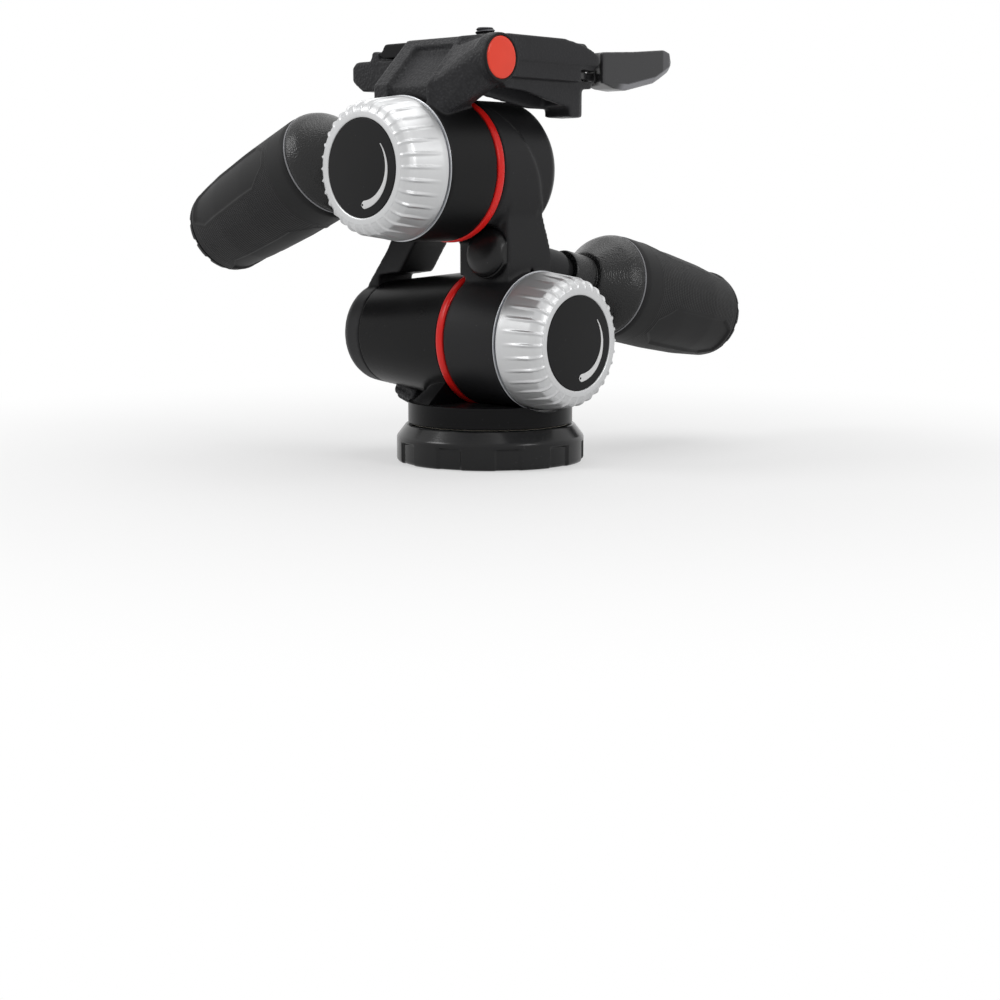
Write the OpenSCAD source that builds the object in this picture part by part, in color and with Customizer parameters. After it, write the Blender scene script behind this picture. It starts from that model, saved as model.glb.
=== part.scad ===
// Three-way pan tilt head. Millimetres. Origin at the centre of the underside,
// +Z up, +X towards the front tilt friction knob, -Y towards the side tilt friction knob.

/* [Base] */
// Diameter of the base ring
base_d = 60; // [57:0.5:64]
// Height of the straight band of the base
band_h = 8; // [7:0.5:8.5]
// Number of shallow recesses round the band
recess_count = 10; // [6:1:14]
// Diameter of the stud that screws into the base (3/8 inch)
stud_d = 9.525; // [6.35, 9.525]

/* [Pan body] */
// Diameter of the pan neck
neck_d = 52.6; // [50:0.2:54]
// Height of the front tilt axis
tilt_z = 39; // [39:0.5:42]
// Barrel diameter next to the red rings
barrel_d = 42.6; // [41:0.2:43]
// Barrel diameter at the far groove
tail_d = 34.4; // [33:0.2:36]
// Distance from the pan axis to the far groove
tail_x = 43; // [41:0.5:46]
// Diameter of the pan lock knob
pan_knob_d = 9.2; // [7:0.2:9.6]
// Upward slope of the pan lock knob, degrees
pan_knob_a = 18; // [14:0.5:20]

/* [Yoke] */
// Rise from the front tilt axis to the side tilt axis
axis_rise = 52.5; // [52.5:0.5:56]
// Outer diameter of the upper barrel
upper_d = 44; // [43:0.2:44.4]
// Width of the yoke web on the knob side of the pan axis
web_x = 18; // [16:0.5:18.2]
// Length of the tail cap beyond the groove
tail_len = 9.4; // [7:0.2:11]

/* [Axles] */
// Diameter of both axles
axle_d = 12; // [10:0.5:14]
// Diameter of the clamped journals
journal_d = 26; // [22:0.5:28]

/* [Friction knobs] */
// Largest diameter of a friction knob
knob_d = 43; // [40:0.5:43]
// Diameter of the knob at its front edge
knob_front_d = 40.4; // [36:0.2:41]
// Length of a friction knob
knob_len = 15.8; // [13:0.2:16.4]
// Diameter of the black disc in the knob
disc_d = 29.2; // [24:0.2:31]
// Number of grooves round a knob
flute_count = 34; // [12:2:36]

/* [Levers] */
// Downward slope of the front tilt lever, degrees
tilt_lever_a = 12; // [9:0.5:14]
// Downward slope of the side tilt lever, degrees
roll_lever_a = 22.5; // [20:0.5:25]
// Largest grip diameter
grip_d = 34.4; // [30:0.2:35]
// Length of a grip
grip_len = 54.4; // [46:0.2:58]
// Diameter of the rod that a grip slides on
rod_d = 12; // [9:0.5:14]

/* [Platform] */
// Width of the quick release plate (X)
plate_w = 52; // [48:0.5:52.5]
// Depth of the quick release plate (Y)
plate_l = 42; // [38:0.5:42.5]
// Height of the plate top above the side tilt axis
plate_top = 39.2; // [37.6:0.1:40]
// Diameter of the camera screw (1/4 or 3/8 inch)
camera_d = 6.35; // [6.35, 9.525]
// Diameter of the round badge
badge_d = 12.8; // [10:0.2:14]
// Length of the release lever beyond its pivot
release_len = 44.5; // [40:0.5:48]

/* [Clearances] */
// Radial clearance of a running fit
run = 0.05; // [0.02:0.01:0.09]
// Open gap between moving faces
gap = 0.4; // [0.35:0.05:0.5]

/* [Hidden] */
$fn = 96;
eps = 0.01;
base_r = base_d / 2;
cone_h = 4;
base_top = band_h + cone_h;
cone_r = base_r - 3;
recess_t = 0.7;
spigot_r = 19;
spigot_h = 3.2;
retain_z = base_top + 1.1;
insert_r = 8;
insert_h = base_top + 1;
washer_in = 20.8;
washer_out = 25.2;
neck_r = neck_d / 2;
neck_z = base_top + gap;
barrel_r = barrel_d / 2;
tail_r = tail_d / 2;
ring_r = barrel_r + 0.4;
neck_top = tilt_z - ring_r + 1.6;
pan_x = -3.6;
ring_x = pan_x + gap - 0.1;
collar_x0 = -0.4;
knob_x = 21.7;
collar_x1 = knob_x - gap;
journal_r = journal_d / 2;
journal_x = 15;
axle_r = axle_d / 2;
tail_gap_x = -tail_x - gap;
tail_end_x = tail_gap_x - tail_len;
roll_z = tilt_z + axis_rise;
upper_r = upper_d / 2;
upper_y0 = -16.2;
upper_y1 = 9.2;
up_ring_y1 = upper_y0 - gap;
up_ring_y0 = up_ring_y1 - 2.9;
up_collar_y = -39;
up_knob_y = up_collar_y - gap;
up_journal_y = -34;
knob_r = knob_d / 2;
knob_fr = knob_front_d / 2;
disc_r = disc_d / 2;
axle_in_knob = knob_len - 4.4;
web_y0 = -11.4;
nut_r = 8.2;
strap_t = 0.6;
seat_y = web_y0 + 0.4;
lever_x = 10;
lever_z = tilt_z + 25;
roll_lever_y = -30.6;
roll_lever_z = roll_z + 20;
screw_r = 4;
boss_r = 6.6;
boss_end = 20;
roll_boss_end = 28.6;
spacer_h = 2.4;
cone_s = 33;
seam_s = 46.2;
hub_r = 7.5;
grip_r = grip_d / 2;
rod_r = rod_d / 2;
grip_s = seam_s + gap;
grip_end = grip_s + grip_len;
grip_end_r = grip_r - 2.6;
rod_end = grip_end - 3;
cap_len = 3.6;
pan_knob_z = neck_z + 2.4;
pan_knob_r = pan_knob_d / 2;
pan_stem_r = 2;
pan_knob_s0 = (base_r + 0.4 - spigot_r) / cos(pan_knob_a);
pan_knob_s1 = pan_knob_s0 + 10.4;
pl_z = roll_z + plate_top;
plate_h = 4.4;
plate_z = pl_z - plate_h;
slab_z1 = plate_z - gap;
slab_z0 = roll_z + 25;
plate_x0 = -29;
plate_x1 = plate_x0 + plate_w;
plate_y0 = -20;
plate_y1 = plate_y0 + plate_l;
cam_x = plate_x0 + plate_w / 2;
cam_y = plate_y0 + plate_l / 2;
camera_r = camera_d / 2;
pad_z = pl_z + 0.4;
screw_out = 4.6;
slab_x0 = -41.7;
slab_y0 = -20;
slab_y1 = 20;
wall_y = plate_y0 - gap;
cowl_x = 28.6;
cowl_z0 = slab_z0 + 1.7;
cowl_z1 = pl_z;
piv_x = 20;
piv_y = 13;
piv_r = 1.6;
piv_head_r = 2.2;
boss_y0 = piv_y - piv_head_r - 0.8;
hub_rr = 6.4;
cowl_r = 10.4;
crease_z = roll_z + 31.7;
lip_in = 1.2;
slot_z0 = cowl_z0 + 0.3;
slot_z1 = slot_z0 + 3.4;
skirt_z = roll_z + 18.7;
skirt_low = roll_z + 16.2;
skirt_x0 = 14;
skirt_x1 = 24.6;
skirt_wall = 1.8;
neck_y0 = -38.6;
neck_y1 = -20.6;
neck_x = 12;
badge_y = -25.5;
badge_z = roll_z + 32;
badge_r = badge_d / 2;
boss_br = badge_r + 0.9;
pin_x = -12;
pin_y = 1;
vial_r = 1.6;
vial_len = 16;
vial_h = 2;
vial_z = slab_z0 + 5.1;

module along_x(x = 0, z = tilt_z) {
    translate([x, 0, z]) rotate([0, 90, 0]) children();
}

module along_back(y = 0, z = roll_z) {
    translate([0, y, z]) rotate([90, 0, 0]) children();
}

module at_tilt_lever() {
    translate([lever_x, 0, lever_z]) rotate([-90 - tilt_lever_a, 0, 0]) children();
}

module at_roll_lever() {
    translate([0, roll_lever_y, roll_lever_z]) rotate([0, -90 - roll_lever_a, 0]) children();
}

module at_pan_knob() {
    translate([-spigot_r, 0, pan_knob_z]) rotate([0, pan_knob_a - 90, 0]) children();
}

module tube(h, ro, ri) {
    difference() {
        cylinder(h = h, r = ro);
        translate([0, 0, -1]) cylinder(h = h + 2, r = ri);
    }
}

module block(x0, x1, y0, y1, z0, z1) {
    translate([x0, y0, z0]) cube([x1 - x0, y1 - y0, z1 - z0]);
}

module side_extrude(x0, x1, points) {
    translate([x0, 0, 0]) rotate([90, 0, 90]) linear_extrude(height = x1 - x0) polygon(points);
}

module front_extrude(y0, y1, points) {
    translate([0, y1, 0]) rotate([90, 0, 0]) linear_extrude(height = y1 - y0) polygon(points);
}

// Base

module base_ring() {
    color("#202124") difference() {
        union() {
            cylinder(h = band_h, r = base_r);
            translate([0, 0, band_h]) cylinder(h = cone_h, r1 = base_r, r2 = cone_r);
            cylinder(h = base_top + spigot_h, r = spigot_r);
        }
        for (i = [0 : recess_count - 1])
            rotate([0, 0, (i + 0.5) * 360 / recess_count])
                translate([base_r - recess_t, -base_r * 0.14, -1])
                    cube([recess_t + 1, base_r * 0.28, band_h - 1.4]);
        translate([0, 0, -1]) cylinder(h = insert_h + 1, r = insert_r);
        translate([0, 0, -1]) cylinder(h = base_top + 9, r = stud_d / 2 + 0.4);
        translate([0, 0, base_top - 1]) tube(2, washer_out, washer_in);
        translate([0, 0, retain_z]) tube(1.2, spigot_r + 1, spigot_r - 1.1);
        translate([0, 0, -1]) tube(1.5, base_r - 6, insert_r + 3);
    }
}

module thread_insert() {
    color("#b8bcc0") tube(insert_h, insert_r, stud_d / 2);
}

module pan_washer() {
    color("#d8d2c0") translate([0, 0, base_top - 1]) tube(1.1, washer_out, washer_in);
}

module retaining_ring() {
    color("#a8abb0") translate([0, 0, retain_z + 0.1]) tube(1, spigot_r + 0.9, spigot_r - 1.05);
}

// Pan body

module pan_body() {
    color("#1b1c1e") difference() {
        union() {
            translate([0, 0, neck_z]) cylinder(h = neck_top - neck_z, r = neck_r);
            intersection() {
                translate([0, 0, neck_top - eps]) cylinder(h = 9, r1 = neck_r - 1.6, r2 = neck_r - 12);
                block(-neck_r, pan_x, -neck_r, neck_r, 0, tilt_z);
            }
            along_x(-tail_x) cylinder(h = tail_x + pan_x, r1 = tail_r, r2 = barrel_r);
            along_x(pan_x - 5) cylinder(h = journal_x - pan_x + 5, r = journal_r);
        }
        difference() {
            along_x(pan_x) cylinder(h = neck_r - pan_x + 2, r = ring_r + gap);
            along_x(pan_x - 5) cylinder(h = journal_x - pan_x + 5, r = journal_r);
        }
        along_x(-tail_x - 1) cylinder(h = tail_x + journal_x + 2, r = axle_r + run);
        translate([0, 0, neck_z - 1]) cylinder(h = base_top + spigot_h + gap - neck_z + 1, r = spigot_r + run);
        translate([0, 0, retain_z - 0.4]) cylinder(h = 2, r = spigot_r + 1.4);
        at_pan_knob() translate([0, 0, -2]) cylinder(h = 20, r = pan_stem_r + run);
        at_pan_knob() translate([0, 0, pan_knob_s0 - 1.2]) cylinder(h = 13.4, r = pan_knob_r + 0.6);
    }
}

module pan_brake_pad() {
    color("#caa84a") at_pan_knob() translate([0, 0, 1]) cylinder(h = 2, r = pan_stem_r);
}

module pan_lock_knob() {
    color("#242528") difference() {
        union() {
            at_pan_knob() translate([0, 0, pan_knob_s0]) cylinder(h = pan_knob_s1 - pan_knob_s0, r = pan_knob_r);
            at_pan_knob() translate([0, 0, 3.3]) cylinder(h = pan_knob_s0 - 2.3, r = pan_stem_r);
        }
        for (i = [0 : 7])
            at_pan_knob() rotate([0, 0, i * 45]) translate([pan_knob_r + 0.2, 0, pan_knob_s0 + 2])
                cylinder(h = 12, r = 0.8, $fn = 24);
    }
}

// Yoke

module yoke_leg() {
    over = tilt_z + tail_r + 2.4;
    front_extrude(-8, 8, [[tail_gap_x - 6, tilt_z + 4], [tail_gap_x, tilt_z + 4], [tail_gap_x, over - 0.6],
        [-33.5, over + 0.6], [-27.5, roll_z - 24], [-14, roll_z - 8], [-20, roll_z],
        [-31, roll_z - 11], [-39.5, roll_z - 25.3], [tail_gap_x - 5, tilt_z + tail_r - 1]]);
}

module yoke() {
    color("#232427") difference() {
        union() {
            along_x(collar_x0) cylinder(h = collar_x1 - collar_x0, r = barrel_r);
            along_x(ring_x) cylinder(h = collar_x0 - ring_x + 1, r = barrel_r - 1.6);
            side_extrude(-2.6, web_x, [[web_y0, tilt_z + 12], [9, tilt_z + 12], [9, roll_z - 26],
                [7.9, roll_z - 22.2], [5, roll_z - 14], [3, roll_z], [web_y0, roll_z]]);
            front_extrude(web_y0 + 0.2, 2, [[web_x - 8, roll_z - upper_r * sin(22)],
                [upper_r * cos(22) - 0.05, roll_z - upper_r * sin(22)], [web_x - 0.2, roll_z - 14.6],
                [web_x - 8, roll_z - 15]]);
            at_tilt_lever() translate([0, 0, 2]) cylinder(h = boss_end - 2, r = boss_r);
            along_back(upper_y1) rotate_extrude() polygon([[0, 0], [upper_r - 2.8, 0], [upper_r - strap_t, 3.2],
                [upper_r - strap_t, upper_y1 - upper_y0 - 0.2], [0, upper_y1 - upper_y0 - 0.2]]);
            intersection() {
                along_back(upper_y1 - 1) cylinder(h = upper_y1 - 1 - upper_y0, r = upper_r);
                side_extrude(-upper_r - 5, upper_r + 5, [[upper_y0 - 1, roll_z - upper_r - 3], [5, roll_z - upper_r - 3],
                    [5, roll_z - 13], [1.2, roll_z - 7.5], [-1.9, roll_z], [-6.9, roll_z + 10.5],
                    [-13, roll_z + 20], [upper_y0 - 1, roll_z + upper_r + 3]]);
            }
            along_back(upper_y0 + 4) cylinder(h = upper_y0 + 4 - up_journal_y, r = journal_r);
            yoke_leg();
            along_x(tail_end_x) rotate_extrude() polygon([[0, 0], [tail_r - 3.2, 0], [tail_r - 1.6, 1.2],
                [tail_r - 0.7, 3.2], [tail_r, tail_len], [0, tail_len]]);
        }
        along_x(-tail_x - gap) cylinder(h = tail_x + gap + ring_x, r1 = tail_r + 0.6, r2 = barrel_r + 0.6);
        along_x(ring_x - 1) cylinder(h = journal_x + gap - ring_x + 1, r = journal_r + run);
        along_x(tail_end_x + 2) cylinder(h = 90, r = axle_r);
        along_x(tail_end_x - 1) cylinder(h = 3.2, r = 11);
        along_back(60) cylinder(h = 120, r = axle_r + run);
        along_back(upper_y1 + 1) cylinder(h = 7, r = 11);
        at_tilt_lever() translate([0, 0, -25]) cylinder(h = 60, r = screw_r + run);
        block(ring_x - 1, collar_x1 + 1, -0.6, 0.6, tilt_z + journal_r - 4, tilt_z + barrel_r + 0.7);
        block(ring_x - 1, web_x - 1.2, -0.6, 0.6, tilt_z + barrel_r, lever_z + 7);
        intersection() {
            at_tilt_lever() translate([0, 0, -30]) cylinder(h = 40, r = nut_r + gap);
            block(-30, 50, -40, seat_y, tilt_z + 10, roll_z);
        }
        difference() {
            along_x(ring_x - eps) cylinder(h = collar_x0 - ring_x + eps, r = barrel_r + 1.5);
            along_x(ring_x - 1) cylinder(h = collar_x0 - ring_x + 2, r = barrel_r - 1.6);
        }
    }
}

module tilt_axle() {
    color("#9a9da2") along_x(tail_end_x + 2.2) cylinder(h = knob_x + axle_in_knob - tail_end_x - 2.2, r = axle_r);
}

module tail_plug() {
    color("#202124") along_x(tail_end_x - 0.1) cylinder(h = 2.3, r = 11);
}

module lower_red_ring() {
    color("#d8241e") along_x(ring_x) tube(collar_x0 - ring_x, ring_r, barrel_r - 1.6);
}

module tilt_clamp_nut() {
    s1 = upper_y0 + 0.3;
    color("#1d1e20") at_tilt_lever() difference() {
        rotate_extrude() polygon([[0, s1], [nut_r - 2.6, s1], [nut_r, s1 + 2.4], [nut_r, s1 + 10.4], [0, s1 + 10.4]]);
        translate([0, 0, s1 + 1.6]) cylinder(h = 20, r = screw_r + run);
        rotate([90 + tilt_lever_a, 0, 0]) block(-20, 20, seat_y, 20, -40, 40);
    }
}

module tilt_spring_washer() {
    color("#b0b3b7") along_x(collar_x1) tube(1.4, 14, axle_r);
}

module upper_end_cap() {
    color("#202124") along_back(upper_y1 - 0.1) cylinder(h = 1.6, r = 11);
}

// Friction knobs

module knob_shell() {
    difference() {
        rotate_extrude() polygon([[axle_r + run, 0], [knob_r - 0.6, 0], [knob_r, 0.6], [knob_r, 2],
            [knob_fr, knob_len - 2.6], [knob_fr - 2.4, knob_len], [disc_r, knob_len],
            [disc_r, knob_len - 1.4], [0, knob_len - 1.4], [0, knob_len - 3.8], [axle_r + run, knob_len - 3.8]]);
        translate([0, 0, -1]) tube(3, 14.6, axle_r - 1);
        for (i = [0 : flute_count - 1])
            rotate([0, 0, i * 360 / flute_count]) translate([knob_r + 0.5, 0, 3])
                rotate([0, -atan((knob_r - knob_fr) / (knob_len - 4.6)), 0])
                    cylinder(h = knob_len, r = 1, $fn = 24);
    }
}

module knob_insert() {
    translate([0, 0, knob_len - 1.4]) cylinder(h = 1.5, r = disc_r);
}

module knob_arc() {
    steps = 16;
    r = disc_r * 0.74;
    outer = [for (i = [0 : steps]) let (a = 40 - i * 130 / steps, w = 0.25 + 0.8 * i / steps)
        [(r + w) * cos(a), (r + w) * sin(a)]];
    inner = [for (i = [0 : steps]) let (j = steps - i, a = 40 - j * 130 / steps, w = 0.25 + 0.8 * j / steps)
        [(r - w) * cos(a), (r - w) * sin(a)]];
    translate([0, 0, knob_len + 0.1]) linear_extrude(height = 0.2) polygon(concat(outer, inner));
}

module at_tilt_knob() {
    translate([knob_x, 0, tilt_z]) rotate([90, 0, 90]) children();
}

module at_roll_knob() {
    translate([0, up_knob_y, roll_z]) rotate([90, 0, 0]) children();
}

module tilt_knob() {
    color("#d9dbdd") at_tilt_knob() knob_shell();
}

module tilt_knob_disc() {
    color("#151517") at_tilt_knob() knob_insert();
}

module tilt_knob_mark() {
    color("#f4f4f4") at_tilt_knob() knob_arc();
}

module roll_knob() {
    color("#d9dbdd") at_roll_knob() knob_shell();
}

module roll_knob_disc() {
    color("#151517") at_roll_knob() knob_insert();
}

module roll_knob_mark() {
    color("#f4f4f4") at_roll_knob() knob_arc();
}

// Levers

module lever_shape(end) {
    hub_s = end + gap + spacer_h;
    difference() {
        rotate_extrude() polygon([[0, hub_s], [hub_r, hub_s], [hub_r, cone_s],
            [hub_r + 1.4, cone_s + 1], [hub_r + 4.5, cone_s + 4.4], [grip_r - 1.6, seam_s - 4.6],
            [grip_r - 0.3, seam_s - 1.4], [grip_r - 0.3, seam_s], [0, seam_s]]);
        cylinder(h = cone_s + 2, r = screw_r);
        translate([0, 0, cone_s + 1.5]) cylinder(h = 40, r = rod_r);
    }
}

module lever_spacer(end) {
    translate([0, 0, end + gap]) tube(spacer_h, hub_r - 2.1, screw_r);
}

module clamp_screw(s0) {
    translate([0, 0, s0]) cylinder(h = cone_s + 1 - s0, r = screw_r);
}

module lever_rod() {
    translate([0, 0, cone_s + 1.5]) cylinder(h = rod_end - cone_s - 1.5, r = rod_r);
}

module grip_shape() {
    rotate_extrude() polygon([[rod_r + run, grip_s], [grip_r - 0.5, grip_s], [grip_r, grip_s + 1.4],
        [grip_r - 0.3, grip_s + grip_len * 0.45], [grip_r - 1.1, grip_s + grip_len * 0.74],
        [grip_end_r, grip_end], [rod_r + run, grip_end]]);
}

module grip_cap() {
    difference() {
        union() {
            translate([0, 0, grip_end]) cylinder(h = cap_len - 1.2, r1 = grip_end_r, r2 = grip_end_r - 0.7);
            translate([0, 0, grip_end + cap_len - 1.2])
                cylinder(h = 1.2, r1 = grip_end_r - 0.7, r2 = grip_end_r - 1.9);
        }
        for (i = [0 : 11])
            rotate([0, 0, i * 30]) translate([grip_end_r - 1.6, -0.7, grip_end + 1.2]) cube([4, 1.4, cap_len]);
    }
}

module tilt_lever() {
    color("#1a1b1d") at_tilt_lever() lever_shape(boss_end);
}

module tilt_lever_spacer() {
    color("#0f0f10") at_tilt_lever() lever_spacer(boss_end);
}

module tilt_clamp_screw() {
    color("#9a9da2") at_tilt_lever() clamp_screw(upper_y0 + 3.6);
}

module tilt_rod() {
    color("#a8abb0") at_tilt_lever() lever_rod();
}

module tilt_grip() {
    color("#2a2b2d") at_tilt_lever() grip_shape();
}

module tilt_grip_cap() {
    color("#1c1d1f") at_tilt_lever() grip_cap();
}

module roll_lever() {
    color("#1a1b1d") at_roll_lever() lever_shape(roll_boss_end);
}

module roll_lever_spacer() {
    color("#0f0f10") at_roll_lever() lever_spacer(roll_boss_end);
}

module roll_clamp_screw() {
    color("#9a9da2") at_roll_lever() clamp_screw(-2);
}

module roll_rod() {
    color("#a8abb0") at_roll_lever() lever_rod();
}

module roll_grip() {
    color("#2a2b2d") at_roll_lever() grip_shape();
}

module roll_grip_cap() {
    color("#1c1d1f") at_roll_lever() grip_cap();
}

// Platform

module platform_neck() {
    side_extrude(-neck_x, neck_x, [[neck_y0, roll_z + 10], [neck_y0, roll_z + 25], [wall_y - 4, cowl_z1],
        [wall_y, cowl_z1], [wall_y, slab_z0 + 2], [slab_y0 + 3, slab_z0 + 0.6], [neck_y1, slab_z0 - 1.6],
        [neck_y1, roll_z + 10]]);
    block(neck_x - 1, cowl_x - 2, badge_y, wall_y, slab_z0 + 2, cowl_z1);
    translate([cowl_x - 4, badge_y, badge_z]) rotate([0, 90, 0]) cylinder(h = 4, r = boss_br);
    hull() {
        side_extrude(neck_x - 2, neck_x - 0.4, [[neck_y0 + 0.9, roll_z + 13], [neck_y0 + 0.6, roll_z + 24.4],
            [wall_y - 7, cowl_z1 - 3.6], [wall_y - 0.7, cowl_z1 - 4], [neck_y1 - 0.6, roll_z + 18.6]]);
        translate([cowl_x - 3, badge_y, badge_z]) rotate([0, 90, 0]) cylinder(h = 1, r = boss_br - 0.4, $fn = 32);
    }
}

module cowl_plan(x1, r, z0, z1) {
    block(skirt_x0 - 2, x1, wall_y - 2, piv_y, z0, z1);
    intersection() {
        translate([piv_x, piv_y, z0]) cylinder(h = z1 - z0, r = r);
        block(piv_x - 4, x1, piv_y - 4, piv_y + 20, z0, z1);
    }
}

module platform_cowl() {
    end = piv_y + cowl_r;
    intersection() {
        cowl_plan(cowl_x, cowl_r, crease_z, cowl_z1);
        side_extrude(0, cowl_x + 5, [[wall_y - 4, crease_z - 1], [wall_y - 4, cowl_z1 + 1], [end - 20.4, cowl_z1],
            [end - 12, cowl_z1 - 1.3], [end - 7, cowl_z1 - 3], [end - 3.4, cowl_z1 - 4.8], [end - 1, cowl_z1 - 6.2],
            [end + 0.1, crease_z + 0.2], [end + 0.1, crease_z - 1]]);
    }
    cowl_plan(cowl_x - lip_in, cowl_r - lip_in, cowl_z0, crease_z + 0.5);
    block(skirt_x0 - 2, piv_x, piv_y - 1, slab_y1, cowl_z0, slab_z1);
}

module platform_skirt() {
    side_extrude(skirt_x0, skirt_x0 + skirt_wall, [[neck_y1 + 1, slab_z0 + 3], [neck_y1 + 1, skirt_z + 3.2],
        [1, skirt_z], [boss_y0, skirt_z], [boss_y0, skirt_low], [18, skirt_low], [18, slab_z0 + 3]]);
    intersection() {
        side_extrude(skirt_x0 + 1, skirt_x1, [[neck_y1 + 1.4, slab_z0 + 2.6], [neck_y1 + 1.4, skirt_z + 5],
            [-10.9, skirt_z + 4.6], [4, skirt_z + 1.4], [boss_y0 - 0.2, skirt_z + 0.4], [boss_y0, skirt_low],
            [18.2, skirt_low], [18.2, slab_z0 + 2.6]]);
        linear_extrude(height = 400) polygon([[0, neck_y1], [skirt_x1, neck_y1], [skirt_x1, 14.4],
            [skirt_x1 - 0.9, 16.6], [skirt_x1 - 3, 18.1], [0, 18.1]]);
    }
}

module platform() {
    color("#1f2022") difference() {
        union() {
            along_back(up_ring_y0) cylinder(h = up_ring_y0 - up_collar_y, r = upper_r - 0.2);
            along_back(up_ring_y1) cylinder(h = up_ring_y1 - up_ring_y0 + 1, r = upper_r - 1.6);
            front_extrude(slab_y0, slab_y1, [[slab_x0, slab_z0 + 3.2], [slab_x0 + 4.4, slab_z0],
                [skirt_x1, slab_z0], [skirt_x1, slab_z1], [slab_x0 + 2, slab_z1], [slab_x0, slab_z1 - 1.6]]);
            front_extrude(slab_y0, slab_y1, [[plate_x0 - 4.6, slab_z1 - 1], [plate_x0 - gap, slab_z1 - 1],
                [plate_x0 - gap, slab_z1 + 2.2], [plate_x0 - 1.4, slab_z1 + 2.8], [plate_x0 - 3.4, slab_z1 + 2.8]]);
            platform_neck();
            platform_cowl();
            platform_skirt();
            at_roll_lever() translate([0, 0, 4]) cylinder(h = roll_boss_end - 4, r = boss_r - 0.6);
        }
        along_back(up_ring_y1 + 1) cylinder(h = up_ring_y1 + 1 - up_journal_y + gap, r = journal_r + run);
        along_back(0) cylinder(h = 80, r = axle_r);
        block(plate_x0 - gap, plate_x1 + gap, plate_y0 - gap, plate_y1 + 8, slab_z1, pl_z + 9);
        at_roll_lever() translate([0, 0, -4]) cylinder(h = 40, r = screw_r + run);
        block(piv_x - 4, cowl_x + 6, piv_y - 0.8, slab_y1 + 9, slot_z0, slot_z1);
        translate([piv_x, piv_y, slot_z0]) cylinder(h = slot_z1 - slot_z0, r = hub_rr + gap);
        side_extrude(-neck_x / 2, neck_x - 1.6, [[neck_y0 - 3, roll_z + 11], [neck_y0 + 1.6, roll_z + 11],
            [neck_y0 + 1.6, roll_z + 24.4], [wall_y - 5.4, cowl_z1 - 4], [wall_y - 8, cowl_z1 + 2],
            [neck_y0 - 3, roll_z + 28]]);
        translate([piv_x, piv_y, skirt_low - 1]) cylinder(h = 40, r = piv_r);
        translate([piv_x, piv_y, skirt_low - 1]) cylinder(h = 2, r = piv_head_r);
        block(skirt_x0 + skirt_wall, skirt_x1 - skirt_wall, neck_y1 + 3, 7, skirt_z - 3, slab_z0 + 1);
        translate([pin_x, pin_y, slab_z1 - 6]) cylinder(h = 9, r = 2 + run);
        translate([cowl_x, badge_y, badge_z]) rotate([0, -90, 0]) cylinder(h = 1, r = badge_r);
        translate([cam_x, cam_y, slab_z1 - 1.4]) cylinder(h = 9, r = 9);
        translate([-vial_len / 2 - 8, slab_y1 - 3.4, vial_z]) block(-1, vial_len + 1, 0, 9, -vial_h, vial_h);
        block(slab_x0 - 5, slab_x0 + 3.4, -vial_len / 2 - 1, vial_len / 2 + 1, vial_z - vial_h, vial_z + vial_h);
    }
}

module roll_axle() {
    color("#9a9da2") along_back(4) cylinder(h = 4 - up_knob_y + axle_in_knob, r = axle_r);
}

module roll_axle_nut() {
    color("#9a9da2") along_back(7) cylinder(h = 2.6, r = 9);
}

module upper_red_ring() {
    color("#d8241e") along_back(up_ring_y1) tube(up_ring_y1 - up_ring_y0, upper_r + 0.2, upper_r - 1.6);
}

module roll_spring_washer() {
    color("#b0b3b7") along_back(up_collar_y) tube(1.4, 14, axle_r);
}

module badge() {
    color("#e8452f") translate([cowl_x - 1, badge_y, badge_z]) rotate([0, 90, 0]) cylinder(h = 1.6, r = badge_r);
}

module vial(len) {
    rotate([0, 90, 0]) cylinder(h = len, r = vial_r);
}

module vial_back() {
    color("#c8d84a") translate([-vial_len / 2 - 8, slab_y1 - vial_r - 0.1, vial_z]) vial(vial_len);
}

module vial_side() {
    color("#c8d84a") translate([slab_x0 + vial_r + 0.1, -vial_len / 2, vial_z]) rotate([0, 0, 90]) vial(vial_len);
}

module vial_bezel_back() {
    color("#101012") translate([-vial_len / 2 - 8, slab_y1 - 3.4, vial_z])
        difference() {
            block(-1, vial_len + 1, 0, 3, -vial_h, vial_h);
            translate([0, 3.3 - vial_r, 0]) vial(vial_len);
        }
}

module vial_bezel_side() {
    color("#101012") difference() {
        block(slab_x0 + 0.4, slab_x0 + 3.4, -vial_len / 2 - 1, vial_len / 2 + 1, vial_z - vial_h, vial_z + vial_h);
        translate([slab_x0 + vial_r + 0.1, -vial_len / 2, vial_z]) rotate([0, 0, 90]) vial(vial_len);
    }
}

// Release lever

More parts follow.
